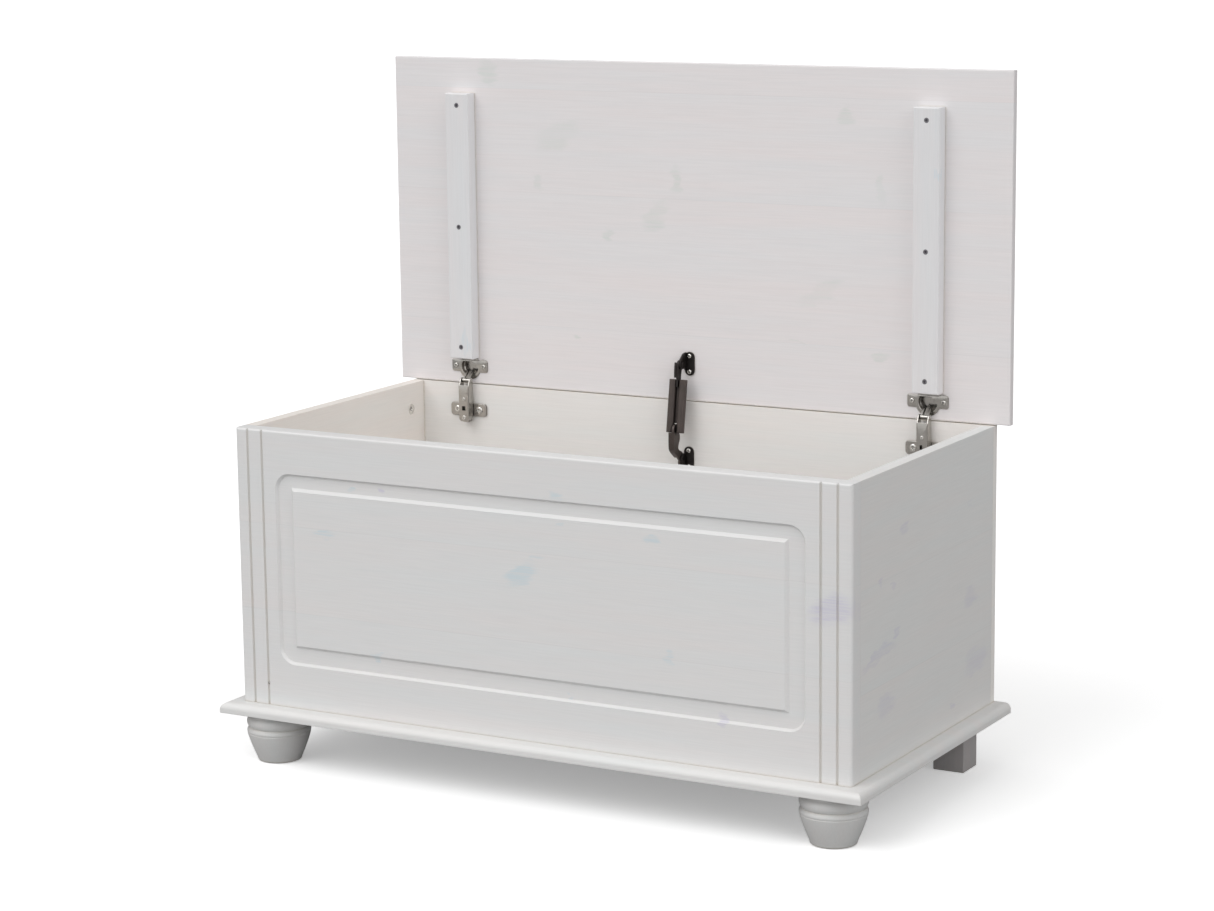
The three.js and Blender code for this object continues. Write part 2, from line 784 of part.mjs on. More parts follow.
// The arm is a pressed channel, open at the back, whose two cheeks carry the hinge pin at the top.
function hingeArm(side) {
  const x = hingeX(side);
  const front = backInner - armStandoff;
  const back = backInner - seam - plateThickness - armClearance;
  const cheekTop = hingePin.z - armEarRadius;
  const bottom = boxTop - armBottomDown;
  const outline = new THREE.Shape();
  outline.moveTo(back, bottom + armHeel);
  outline.lineTo(back, boxTop - armShoulderDown);
  outline.lineTo(hingePin.y + armEarRadius, boxTop);
  outline.lineTo(hingePin.y + armEarRadius, hingePin.z);
  outline.absarc(hingePin.y, hingePin.z, armEarRadius, 0, Math.PI);
  outline.lineTo(hingePin.y - armEarRadius, cheekTop);
  outline.lineTo(front + 1, cheekTop);
  outline.lineTo(front, cheekTop - 1);
  outline.lineTo(front, bottom + armNose);
  outline.quadraticCurveTo(front, bottom, front + armNose, bottom);
  outline.lineTo(back - armHeel, bottom);
  const channel = alongX(outline, x - armWidth / 2, x + armWidth / 2);
  const half = armWidth / 2 - armWall;
  const above = hingePin.z + 2 * armEarRadius;
  const hollow = block(x - half, x + half, front + armWall, back + 1, bottom - 1, above);
  const window = block(x - half, x + half, front - 1, back + 1, cheekTop - armMouthDown, above);
  const slot = block(
    x - armSlotHalf,
    x + armSlotHalf,
    front - 1,
    front + armWall + 1,
    boxTop - armSlotDown - armSlotHalf,
    boxTop - armSlotDown + armSlotHalf,
  );
  const pinBore = rodX(hingePinRadius + holeGap, x - armWidth, x + armWidth, hingePin.y, hingePin.z);
  return cut(channel, [hollow, window, slot, pinBore]);
}

const linkTip = {
  y: hingePin.y + linkLength * Math.cos(THREE.MathUtils.degToRad(linkOpenAngle)),
  z: hingePin.z + linkLength * Math.sin(THREE.MathUtils.degToRad(linkOpenAngle)),
};

function hingeLink(side) {
  const x = hingeX(side);
  const half = linkWidth / 2;
  const strap = alongX(beltShape(hingePin, linkEyeRadius, linkTip, linkTipRadius), x - half, x + half);
  const bore = rodX(hingePinRadius + holeGap, x - armWidth, x + armWidth, hingePin.y, hingePin.z);
  return cut(strap, [bore]);
}

function hingePinRod(side) {
  const x = hingeX(side);
  const half = armWidth / 2 + hingePinProud;
  return rodX(hingePinRadius, x - half, x + half, hingePin.y, hingePin.z);
}

// ---- lid stay ----
const stayArmX = {
  high: stayPlateX - stayPlateWidth / 2 - stayArmGap,
  low: stayPlateX - stayPlateWidth / 2 - stayArmGap - stayArmThickness,
};
const stayMiddleX = (stayArmX.high + stayArmX.low) / 2;

// A bracket is an oval plate screwed to the wood at y = face, with one ear turned forward round the pivot.
function stayBracket(pivot, face, plateMiddle, spots) {
  const back = face - seam;
  const front = back - stayPlateThickness;
  const half = stayPlateWidth / 2;
  const plate = rounded(
    stayPlateX - half,
    plateMiddle - stayPlateHeight / 2,
    stayPlateX + half,
    plateMiddle + stayPlateHeight / 2,
    Array(4).fill(stayPlateRound),
  );
  const root = stayEarRadius + earFlare;
  const ear = new THREE.Shape();
  ear.moveTo(back, pivot.z - root);
  ear.lineTo(back, pivot.z + root);
  ear.lineTo(front, pivot.z + root);
  ear.absarc(pivot.y, pivot.z, stayEarRadius, Math.PI / 2, 1.5 * Math.PI);
  ear.lineTo(front, pivot.z - root);
  const earX = stayPlateX - half;
  const body = join([
    alongY(plate, front, back),
    alongX(ear, earX, earX + stayEarThickness),
  ]);
  const bores = spots.map((spot) => screwBore(spot, plateBoreLength));
  const pinBore = rodX(stayRivetRadius + holeGap, earX - 1, earX + stayEarThickness + 1, pivot.y, pivot.z);
  return cut(body, [...bores, pinBore]);
}

function stayRivet(pivot) {
  const earX = stayPlateX - stayPlateWidth / 2;
  const outer = stayArmX.low - stayArmGap;
  const inner = earX + stayEarThickness + stayArmGap;
  return join([
    rodX(stayRivetRadius, outer - rivetInset, inner + rivetInset, pivot.y, pivot.z),
    rodX(stayRivetHeadRadius, outer - stayRivetHeadHeight, outer, pivot.y, pivot.z),
    rodX(stayRivetTailRadius, inner, inner + stayRivetTailHeight, pivot.y, pivot.z),
  ]);
}

const stayLine = new THREE.Vector2(stayMiddle.y - stayUpper.y, stayMiddle.z - stayUpper.z);
const stayLength = stayLine.length();
const stayTilt = Math.atan2(stayLine.x, -stayLine.y);

// Moves a piece drawn hanging straight down from (0, 0, 0) to hang from the upper pivot along the stay.
function hungFromUpper(geometry) {
  return geometry.rotateX(stayTilt).translate(stayMiddleX, stayUpper.y, stayUpper.z);
}

function stayHousing() {
  const apart = barrelRadius + barrelGap / 2;
  const top = -barrelTopFromPivot;
  const bottom = -stayLength - barrelPastPin;
  const barrels = [-apart, apart].map((x) => rodZ(barrelRadius, x, 0, bottom, top));
  const web = block(
    -apart,
    apart,
    -webHalfDepth,
    webHalfDepth,
    -stayLength + webPastPin,
    top - tangLength - 2 * seam,
  );
  const pin = rodX(stayRivetRadius, -apart, apart, 0, -stayLength);
  return hungFromUpper(join([...barrels, web, pin]));
}

function stayUpperArm() {
  const half = stayArmThickness / 2;
  const top = -barrelTopFromPivot;
  const outline = new THREE.Shape();
  outline.moveTo(tangHalfDepth, top - tangLength);
  outline.lineTo(tangHalfDepth, top + tangNeck);
  outline.quadraticCurveTo(tangHalfDepth, top / 2, stayEarRadius, 0);
  outline.absarc(0, 0, stayEarRadius, 0, Math.PI);
  outline.quadraticCurveTo(-stayEarRadius, top / 2, -tangHalfDepth, top + tangNeck);
  outline.lineTo(-tangHalfDepth, top - tangLength);
  const blade = alongX(outline, -half, half);
  const bore = rodX(stayRivetRadius + holeGap, -stayArmThickness, stayArmThickness, 0, 0);
  return hungFromUpper(cut(blade, [bore]));
}

function stayLowerArm() {
  const outline = beltShape(stayLower, stayEarRadius, stayMiddle, lowerEyeRadius);
  const blade = alongX(outline, stayArmX.low, stayArmX.high);
  const bores = [
    rodX(stayRivetRadius + holeGap, stayArmX.low - 1, stayArmX.high + 1, stayLower.y, stayLower.z),
    rodX(stayRivetRadius + 2 * holeGap, stayArmX.low - 1, stayArmX.high + 1, stayMiddle.y, stayMiddle.z),
  ];
  return cut(blade, bores);
}

// ---- connectors and pin ----
function camLock(side, spot) {
  const inner = side.sign * (bodyWidth / 2 - sideThickness);
  const face = inner + side.sign * camRimInset;
  const deep = inner + side.sign * (camDepth - seam);
  const body = rodX(camRadius, Math.min(face, deep), Math.max(face, deep), spot.y, spot.z, camSteps);
  const x0 = face - crossDepth;
  const x1 = face + crossDepth;
  const arm = crossWidth / 2;
  const cross = [
    block(x0, x1, spot.y - crossReach, spot.y + crossReach, spot.z - arm, spot.z + arm),
    block(x0, x1, spot.y - arm, spot.y + arm, spot.z - crossReach, spot.z + crossReach),
  ];
  return cut(body, cross);
}

function frontPin() {
  return rodY(pinRadius, pinX, pinSunk, pinSunk + pinLength, panelBottom + pinUp);
}

function footStud(spot) {
  return rodZ(studRadius, spot.x, spot.y, baseBottom - studInFoot, baseBottom + studInBase);
}

// ---- assembly ----
place("base_board", baseBoard(), glazedPine);
place("front_panel", frontPanel(), glazedPine);
place("back_panel", backPanel(), shadedPine);
place("lid_panel", lidPanel(), glazedPine);
place("front_panel_pin", frontPin(), brightZinc);
for (const spot of studSpots) {
  const foot = spot.name.startsWith("front") ? frontFoot(spot) : rearFoot(spot);
  place(spot.name + "_foot", foot, glazedPine);
  place(spot.name + "_foot_stud", footStud(spot), brightZinc);
}
for (const side of sides) {
  place(side.name + "_side_panel", sidePanel(side), shadedPine);
  for (const spot of camSpots(side)) {
    place(side.name + "_" + spot.name + "_cam", camLock(side, spot), brightZinc);
  }
  place(side.name + "_batten", batten(side), glazedPine);
  battenScrewSpots(side).forEach((spot, i) => {
    place(side.name + "_batten_screw_" + (i + 1), battenScrew(spot), brightZinc);
  });
  place(side.name + "_hinge_cup", hingeCup(side), nickel);
  place(side.name + "_hinge_plate", mountingPlate(side), nickel);
  place(side.name + "_hinge_arm", hingeArm(side), nickel);
  place(side.name + "_hinge_link", hingeLink(side), nickel);
  place(side.name + "_hinge_pin", hingePinRod(side), nickel);
  flangeScrewSpots(side).forEach((spot, i) => {
    const screw = panScrew(flangeScrewHeadRadius).translate(spot.x, spot.y, spot.z);
    place(side.name + "_cup_screw_" + (i + 1), screw, brightZinc);
  });
  plateScrewSpots(side).forEach((spot, i) => {
    const screw = panScrew(plateScrewHeadRadius).translate(spot.x, spot.y, spot.z);
    place(side.name + "_plate_screw_" + (i + 1), screw, brightZinc);
  });
}
place("stay_upper_bracket", stayBracket(stayUpper, lidInner, stayUpper.z, stayUpperSpots), bronze);
place(
  "stay_lower_bracket",
  stayBracket(stayLower, backInner, stayLower.z + stayLowerPlateUp, stayLowerSpots),
  bronze,
);
place("stay_housing", stayHousing(), bronze);
place("stay_upper_arm", stayUpperArm(), bronze);
place("stay_lower_arm", stayLowerArm(), bronze);
place("stay_upper_rivet", stayRivet(stayUpper), bronze);
place("stay_lower_rivet", stayRivet(stayLower), bronze);
stayUpperSpots.forEach((spot, i) => {
  const screw = panScrew(stayScrewHeadRadius).translate(spot.x, spot.y, spot.z);
  place("stay_upper_screw_" + (i + 1), screw, brightZinc);
});
stayLowerSpots.forEach((spot, i) => {
  const screw = panScrew(stayScrewHeadRadius).translate(spot.x, spot.y, spot.z);
  place("stay_lower_screw_" + (i + 1), screw, brightZinc);
});

// The footprint runs from the front edge of the base board to the outer face of the open lid.
parts.position.y = -(lidOuter - baseFrontOverhang) / 2;
const bench = new THREE.Group();
bench.add(parts);

export default bench;
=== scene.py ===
"""Storage bench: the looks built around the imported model, laid out as a Blender add-on.

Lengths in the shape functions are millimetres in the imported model's frame, and become metres in skin().
"""
import json
import math

import bpy
import numpy as np
from bpy.props import FloatProperty, FloatVectorProperty, PointerProperty
from mathutils import Matrix, Vector


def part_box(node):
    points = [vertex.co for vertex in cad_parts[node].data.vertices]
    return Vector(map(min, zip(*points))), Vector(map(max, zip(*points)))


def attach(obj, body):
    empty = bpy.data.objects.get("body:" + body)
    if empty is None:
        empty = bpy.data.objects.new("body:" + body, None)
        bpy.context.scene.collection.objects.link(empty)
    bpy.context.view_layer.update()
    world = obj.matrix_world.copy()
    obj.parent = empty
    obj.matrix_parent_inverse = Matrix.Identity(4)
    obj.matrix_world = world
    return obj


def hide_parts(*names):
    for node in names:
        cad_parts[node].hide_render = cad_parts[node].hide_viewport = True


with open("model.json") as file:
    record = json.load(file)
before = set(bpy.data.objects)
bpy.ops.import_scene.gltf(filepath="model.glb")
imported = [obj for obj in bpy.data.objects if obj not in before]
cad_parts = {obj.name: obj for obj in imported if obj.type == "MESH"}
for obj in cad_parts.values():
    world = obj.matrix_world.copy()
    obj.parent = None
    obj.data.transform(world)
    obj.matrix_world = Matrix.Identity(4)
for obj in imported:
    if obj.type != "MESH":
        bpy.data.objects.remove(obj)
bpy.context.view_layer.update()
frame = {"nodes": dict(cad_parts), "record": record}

bl_info = {
    "name": "Storage bench",
    "version": (1, 0, 0),
    "blender": (4, 5, 0),
    "location": "View3D > Sidebar > Storage bench",
    "description": "Builds the turned feet, hinges, lid stay, screws, finishes and studio of a storage bench",
    "category": "Object",
}

METRE = 0.001
TURN = 2 * math.pi
SIDES = ("left", "right")


def linear(code):
    """An sRGB hex colour as linear RGBA: c / 12.92 below 0.04045, else ((c + 0.055) / 1.055) ** 2.4."""
    values = [int(code[i : i + 2], 16) / 255 for i in (1, 3, 5)]
    return [v / 12.92 if v <= 0.04045 else ((v + 0.055) / 1.055) ** 2.4 for v in values] + [1.0]


def box_mm(node):
    """Lowest and highest corner of a CAD node, in millimetres."""
    low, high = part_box(node)
    return np.array(low) / METRE, np.array(high) / METRE


def middle_mm(node):
    """The middle of a CAD node's box, in millimetres."""
    low, high = box_mm(node)
    return (low + high) / 2


# ---- sizes and colours that a user would change ----
class BenchFinish(bpy.types.PropertyGroup):
    """Colours and surface detail of the bench."""

    glaze_cool: FloatVectorProperty(
        name="Cool glaze", description="Colour of the glaze where it is cooler", subtype="COLOR",
        size=4, min=0, max=1, default=linear("#eff0f0"),
    )
    glaze_warm: FloatVectorProperty(
        name="Warm glaze", description="Colour of the glaze where it is warmer", subtype="COLOR",
        size=4, min=0, max=1, default=linear("#f2efee"),
    )
    knot_strength: FloatProperty(
        name="Knot strength", description="How much of the knots shows through the glaze",
        default=1.0, min=0, max=1,
    )
    grain_pitch: FloatProperty(
        name="Grain pitch", description="Distance between two fine grain lines", unit="LENGTH",
        default=0.0018, min=0.0005, max=0.01,
    )
    grain_depth: FloatProperty(
        name="Grain depth", description="How far the grain lines lie below the glaze", unit="LENGTH",
        default=0.00012, min=0, max=0.001,
    )


class BenchShape(bpy.types.PropertyGroup):
    """Sizes of the finely shaped pieces."""

    bead_radius: FloatProperty(
        name="Foot bead radius", description="Radius of a turned foot at its beads", unit="LENGTH",
        default=0.0432, min=0.03, max=0.0435,
    )
    crease_depth: FloatProperty(
        name="Foot crease depth", description="Depth of the crease between the beads", unit="LENGTH",
        default=0.0031, min=0, max=0.005,
    )
    edge_ease: FloatProperty(
        name="Metal edge round", description="Round on the edges of the pressed metal", unit="LENGTH",
        default=0.0004, min=0.0001, max=0.001,
    )
    recess_depth: FloatProperty(
        name="Screw recess depth", description="Depth of the cross in a screw head", unit="LENGTH",
        default=0.0012, min=0, max=0.002,
    )


class BenchStudio(bpy.types.PropertyGroup):
    """Lights of the studio."""

    key: FloatProperty(
        name="Key light", description="Strength of the light in front", default=0.78, min=0, max=20,
    )
    side: FloatProperty(
        name="Side light", description="Strength of the light on the right", default=0.72, min=0, max=20,
    )
    bright: FloatProperty(
        name="Room in front", description="Brightness of the room in front", default=0.93, min=0, max=4,
    )
    dim: FloatProperty(
        name="Room behind", description="Brightness of the room behind", default=0.14, min=0, max=4,
    )


FLOOR_BOUNCE = "#a8a8a8"
FLOOR_GLOW = 0.3  # the floor glows a little where the camera sees it, a painted light that keeps its shadows pale
FLOOR_REACH = 40.0  # metres
ROOM_TOWARDS = (-0.35, -0.8, 0.5)  # the way from the bench to the brightest part of the room
KEY_TOWARDS, KEY_WIDTH = (-0.45, -0.8, 1.0), 40  # the way to the light, and how wide it looks, in degrees
SIDE_TOWARDS, SIDE_WIDTH = (1.0, -0.35, 0.6), 50
CAMERA_PLACE = (2.00590, -3.58726, 1.18668)  # metres
CAMERA_ANGLES = (29.297, 10.594, -0.65)  # turn round the bench, height above it and roll, in degrees
CAMERA_LENS, CAMERA_SENSOR = 94.01, 36.0  # millimetres


# ---- surfaces ----
# The two directions that an outline is drawn in, and the one that it is carried along.
AXES = {
    "x": np.array([(0, 1, 0), (0, 0, 1), (1, 0, 0)], float),
    "y": np.array([(1, 0, 0), (0, 0, 1), (0, 1, 0)], float),
    "z": np.array([(1, 0, 0), (0, 1, 0), (0, 0, 1)], float),
}


def circle(count):
    """Unit circle: (cos t, sin t) for count steps of t."""
    t = np.arange(count) * TURN / count
    return np.stack([np.cos(t), np.sin(t)], 1)


def carried(outlines, heights, axis, centre=(0, 0, 0)):
    """Rings of points: outline k, in the plane across the axis, at height k along it, moved to centre."""
    first, second, along = AXES[axis]
    flat = np.asarray(outlines)
    rise = np.asarray(heights, float)[:, None, None] * along
    return flat[..., :1] * first + flat[..., 1:] * second + rise + np.asarray(centre, float)


def turned(profile, axis, centre, count=64):
    """A profile of (radius, height) pairs turned about the axis: r(h) * (cos t, sin t)."""
    profile = np.asarray(profile, float)
    return carried(profile[:, 0, None, None] * circle(count), profile[:, 1], axis, centre)


def arcs(corners, steps=6):
    """A polygon of (a, b, radius) corners, each a circle arc that touches both sides of its corner."""
    corners = np.asarray(corners, float)
    points = corners[:, :2]
    out = []
    for i, radius in enumerate(corners[:, 2]):
        before = points[i - 1] - points[i]
        after = points[(i + 1) % len(points)] - points[i]
        before, after = before / np.linalg.norm(before), after / np.linalg.norm(after)
        half = math.acos(np.clip(before @ after, -1, 1)) / 2
        middle = (before + after) / np.linalg.norm(before + after)
        centre = points[i] + middle * radius / math.sin(half)
        start = points[i] + before * radius / math.tan(half) - centre
        end = points[i] + after * radius / math.tan(half) - centre
        a0, a1 = math.atan2(start[1], start[0]), math.atan2(end[1], end[0])
        t = a0 + np.linspace(0, (a1 - a0 + math.pi) % TURN - math.pi, steps)
        out.append(centre + radius * np.stack([np.cos(t), np.sin(t)], 1))
    return np.concatenate(out)


def rectangle(a0, b0, a1, b1, radius):
    """A rectangle with round corners."""
    return arcs([(a0, b0, radius), (a1, b0, radius), (a1, b1, radius), (a0, b1, radius)])


def spread(points, per_step=2.0):
    """A closed outline with more points on its long sides, spaced evenly on each side."""
    out = []
    for here, there in zip(points, np.roll(points, -1, 0)):
        count = max(1, int(np.linalg.norm(there - here) / per_step))
        out.append(here + (there - here) * np.arange(count)[:, None] / count)
    return np.concatenate(out)


def inset(outline, distance):
    """An outline moved inwards: each point goes along the mean normal of its two sides."""
    following = np.roll(outline, -1, 0)
    side = following - outline
    normal = np.stack([side[:, 1], -side[:, 0]], 1)
    normal /= np.maximum(np.linalg.norm(normal, axis=1, keepdims=True), 1e-9)
    both = normal + np.roll(normal, 1, 0)
    both *= 2 / np.maximum(np.sum(both**2, 1, keepdims=True), 1)
    area = np.sum(outline[:, 0] * following[:, 1] - outline[:, 1] * following[:, 0])
    return outline - math.copysign(distance, area) * both


def plate(outline, axis, low, high, ease, centre=(0, 0, 0)):
    """An outline carried from low to high with its edges quarter circles of radius ease."""
    a = np.linspace(0, math.pi / 2, 5)
    insets = np.concatenate([[2 * ease], ease * (1 - np.sin(a))])
    rises = np.concatenate([[0], ease * (1 - np.cos(a))])
    outlines = [inset(outline, d) for d in insets] + [inset(outline, d) for d in insets[::-1]]
    heights = np.concatenate([low + rises, high - rises[::-1]])
    return carried(outlines, heights, axis, centre)


def pierced(outline, hole, axis, low, high, ease, centre=(0, 0, 0)):
    """A plate with one hole: a loop of rings over the front, round the outer edge, the back and the hole.

    hole gives the hole's edge in the direction of each point of the outline, seen from the hole's middle.
    """
    a = np.linspace(0, math.pi / 2, 4)
    edges = [inset(outline, ease * (1 - np.sin(t))) for t in a]
    rise = ease * (1 - np.cos(a))
    rings = [hole, *edges, *edges[::-1], hole, hole]
    heights = [low, *(low + rise), *(high - rise[::-1]), high, low]
    return carried(rings, heights, axis, centre)


def ribbon(path, thickness):
    """The outline of a strip that follows a path, half its thickness to each side."""
    path = np.asarray(path, float)
    along = np.gradient(path, axis=0)
    normal = np.stack([-along[:, 1], along[:, 0]], 1) / np.linalg.norm(along, axis=1, keepdims=True)
    return np.concatenate([path + normal * thickness / 2, (path - normal * thickness / 2)[::-1]])


def bend(points, steps=24):
    """A smooth path through a few points: Catmull-Rom cubics."""
    points = np.asarray(points, float)
    whole = np.concatenate([[2 * points[0] - points[1]], points, [2 * points[-1] - points[-2]]])
    t = np.linspace(0, len(points) - 1, steps)
    i = np.minimum(t.astype(int), len(points) - 2)
    u = (t - i)[:, None]
    p0, p1, p2, p3 = (whole[i + k] for k in range(4))
    slope, square, cube = p2 - p0, 2 * p0 - 5 * p1 + 4 * p2 - p3, 3 * p1 - p0 - 3 * p2 + p3
    return 0.5 * (2 * p1 + slope * u + square * u**2 + cube * u**3)


def cross_head(radius, height, recess, shank, length, axis, centre, flip, reach=0.55, count=48):
    """A screw: a head of height h sqrt(1 - (r/R)^3) with a cross sunk into it, and a shank behind its seat.

    The cross is the deeper of two slots, each fading out across its width and at its ends. flip is 1 or -1,
    the way that the head looks along the axis, and reach is the half length of a slot in head radii.
    """
    share = np.concatenate([np.linspace(0.02, 0.9, 14), [0.95, 0.985, 1.0]])
    ring = circle(count)
    x = share[:, None] * ring[:, 0]
    y = share[:, None] * ring[:, 1]
    wall, ramp = 0.13, 0.16  # how much of the radius a slot's side and its end take to reach full depth

    def slot(across, lengthwise):
        side = np.clip(1.6 - np.abs(across) / wall, 0, 1)
        return side * np.clip((reach - np.abs(lengthwise)) / ramp, 0, 1)

    sunk = recess * np.maximum(slot(x, y), slot(y, x))
    dome = height * np.sqrt(np.clip(1 - share**3, 0, 1))[:, None] - sunk
    first, second, along = AXES[axis]
    along = along * flip
    head = (x * radius)[..., None] * first + (y * radius)[..., None] * second + dome[..., None] * along
    below = np.array([[radius, 0], [shank, 0], [shank, 2 - length], [0.3, -length]])[:, :, None, None]
    stem = below[:, 0] * (ring[:, :1] * first + ring[:, 1:] * second) + below[:, 1] * along
    return np.concatenate([head, stem]) + np.asarray(centre, float)


def skin(name, stacks, material, body, replaces=(), sharp=38):
    """One piece from stacks of rings: quads between neighbouring rings and a flat cap on both ends.

    A stack that ends on its first ring is a loop and has no caps. A stack whose signed volume comes out
    negative is turned round, so that its faces point outwards.
    """
    points, faces, start = [], [], 0
    for rings in stacks:
        loop = np.allclose(rings[0], rings[-1])
        if loop:
            rings = rings[:-1]
        levels, count = rings.shape[:2]
        index = np.arange(levels * count).reshape(levels, count)
        if loop:
            index = np.concatenate([index, index[:1]])
        beside = np.roll(index, -1, 1)
        quads = np.stack([index[:-1], beside[:-1], beside[1:], index[1:]], -1).reshape(-1, 4)
        caps = [] if loop else [index[0][::-1], index[-1]]
        flat = rings.reshape(-1, 3)
        corner = flat[quads]
        spread_out = np.cross(corner[:, 2] - corner[:, 0], corner[:, 3] - corner[:, 1])
        volume = np.sum((corner.mean(1) - flat.mean(0)) * spread_out)
        for cap in caps:
            a, b = flat[cap], flat[np.roll(cap, -1)]
            volume += np.sum((a - flat.mean(0)) * np.cross(a - a.mean(0), b - a.mean(0)))
        if volume < 0:
            quads, caps = quads[:, ::-1], [cap[::-1] for cap in caps]
        points.append(flat)
        faces += (quads + start).tolist() + [(cap + start).tolist() for cap in caps]
        start += len(flat)
    mesh = bpy.data.meshes.new(name)
    mesh.from_pydata(np.concatenate(points) * METRE, [], faces)
    mesh.polygons.foreach_set("use_smooth", np.ones(len(mesh.polygons), bool))
    mesh.set_sharp_from_angle(angle=math.radians(sharp))
    mesh.materials.append(material)
    piece = bpy.data.objects.new(name, mesh)
    bpy.context.scene.collection.objects.link(piece)
    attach(piece, body)
    if replaces:
        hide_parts(*replaces)
    return piece


# ---- finishes ----
def add(tree, kind, links=None, **settings):
    """A node of the kind, with its properties and socket values set and its inputs linked."""
    node = tree.nodes.new("ShaderNode" + kind)
    for key, value in settings.items():
        if hasattr(node, key):
            setattr(node, key, value)
        else:
            socket = int(key[1:]) if key[0] == "i" and key[1:].isdigit() else key.replace("_", " ")
            node.inputs[socket].default_value = value
    for key, output in (links or {}).items():
        tree.links.new(output, node.inputs[key])
    return node


def blank(name):
    """A new material's tree with its own shader and output."""
    material = bpy.data.materials.new(name)
    material.use_nodes = True
    tree = material.node_tree
    tree.nodes.clear()
    shader = add(tree, "BsdfPrincipled")
    add(tree, "OutputMaterial", {"Surface": shader.outputs[0]})
    return material, tree, shader


# Knots of each board, in millimetres: the two places on its face, half length, half height and tilt.
FRONT_KNOTS = (
    (-314, 323, 16, 5, 0), (-13, 301, 24, 11, 25), (12, 323, 10, 4, 0), (-273, 387, 6, 5, 0),
    (-234, 169, 9, 4, 0), (42, 405, 12, 6, 0), (50, 370, 6, 3, 0), (175, 364, 13, 4, 0),
    (201, 214, 6, 9, 0), (57, 149, 4, 4, 0),
)
FRONT_MAUVE_KNOTS = ((275, 146, 7, 10, 0), (424, 298, 30, 19, 10), (-225, 392, 6, 4, 0))
SIDE_KNOTS = (
    (-66, 373, 12, 7, 0), (-135, 320, 7, 4, 0), (-99, 311, 8, 4, 0), (-89, 248, 8, 5, 0),
    (-111, 234, 21, 7, 0), (-155, 226, 37, 6, 15), (169, 155, 37, 18, 0), (-120, 161, 27, 14, 0),
    (88, 109, 8, 5, 0), (143, 367, 10, 3, 0), (145, 242, 23, 12, 0),
)
LID_KNOTS = (
    (-317, 901, 17, 16, 0), (-206, 815, 36, 17, 20), (-237, 749, 7, 13, 0), (-52, 710, 14, 25, -40),
    (-19, 761, 8, 18, 0), (-126, 681, 10, 7, 0), (-178, 535, 5, 4, 0), (236, 852, 12, 12, 0),
    (285, 757, 7, 21, 0), (196, 619, 34, 12, 30), (163, 549, 12, 2, 0), (285, 536, 10, 9, 0),
)
BATTEN_KNOTS = ((-352, 520, 7, 16, 8), (374, 785, 4, 7, 0))
LID_JOINTS = (547, 734, 878)
FRONT_JOINTS = (213, 330)
SIDE_JOINTS = (190, 320)
JOINT_HALF_WIDTH = 0.0005
JOINT_SHADE = 0.035
GRAIN_LENGTH = 0.07  # of one fine grain line
FIGURE_LENGTH, FIGURE_WIDTH = 0.35, 0.03  # over which the figure of the wood changes
KNOT_DRIFT = 0.03  # how far the drift moves a knot's edge at most
GROOVE_SHADE_REACH = 0.005  # grooves narrower than this get a painted shade
# the warm tint of the painted shade in grooves and corners of the wood
GROOVE_SHADE_TINT = "#e9e4d8"
# the colour of the painted shade in the recesses and corners of the metal
RECESS_SHADE = "#14110f"


def planks(tree, place, tint, streak, joints):
    """Planks glued at the given heights: the tint flips above each joint, which is drawn as a thin line."""
    height = add(tree, "SeparateXYZ", {"Vector": place}).outputs["Z"]
    for joint in joints:
        above = add(tree, "Math", {0: height}, operation="GREATER_THAN", i1=joint * METRE)
        moved = add(tree, "Math", {0: above.outputs[0], 1: tint}, operation="SUBTRACT")
        tint = add(tree, "Math", {0: moved.outputs[0]}, operation="ABSOLUTE").outputs[0]
        seam = add(tree, "Math", {0: height}, operation="COMPARE", i1=joint * METRE, i2=JOINT_HALF_WIDTH)
        dark = add(tree, "Math", {0: seam.outputs[0]}, operation="MULTIPLY", i1=JOINT_SHADE)
        streak = add(tree, "Math", {0: streak, 1: dark.outputs[0]}, operation="SUBTRACT").outputs[0]
    return tint, streak


def knot_mask(tree, place, along, face, spots):
    """1 in the knots and 0 outside: the largest of each spot's smooth step down from 0.55 to 1.3 sizes.

    A noise, drawn out along the grain, pushes the places about, so that a knot's edge wanders. Its mean is a
    half, so each knot is placed half the drift further on.
    """
    stretch = [30 if i == along else 110 for i in range(3)]  # it changes over 33 mm along and 9 mm across
    drift_place = add(tree, "Mapping", {"Vector": place}, Scale=stretch).outputs[0]
    drift = add(tree, "TexNoise", {"Vector": drift_place}, Scale=1.0, Detail=3.0).outputs["Color"]
    pushed = add(
        tree, "Mix", {6: place, 7: drift}, data_type="RGBA", blend_type="ADD", i0=KNOT_DRIFT
    ).outputs[2]
    parts = add(tree, "SeparateXYZ", {"Vector": pushed})
    first, second = (parts.outputs[c.upper()] for c in face)
    flat = add(tree, "CombineXYZ", {"X": first, "Y": second}).outputs[0]
    mask = None
    for a, b, long, high, tilt in spots:
        spot = add(
            tree, "Mapping", {"Vector": flat}, vector_type="TEXTURE",
            Location=(a * METRE + KNOT_DRIFT / 2, b * METRE + KNOT_DRIFT / 2, 0),
            Rotation=(0, 0, math.radians(tilt)),
            Scale=(long * METRE, high * METRE, 1),
        )
        far = add(tree, "VectorMath", {0: spot.outputs[0]}, operation="LENGTH").outputs["Value"]
        near = add(
            tree, "MapRange", {"Value": far}, interpolation_type="SMOOTHSTEP",
            From_Min=0.55, From_Max=1.3, To_Min=1.0, To_Max=0.0,
        ).outputs[0]
        mask = near if mask is None else add(tree, "Math", {0: mask, 1: near}, operation="MAXIMUM").outputs[0]
    return mask


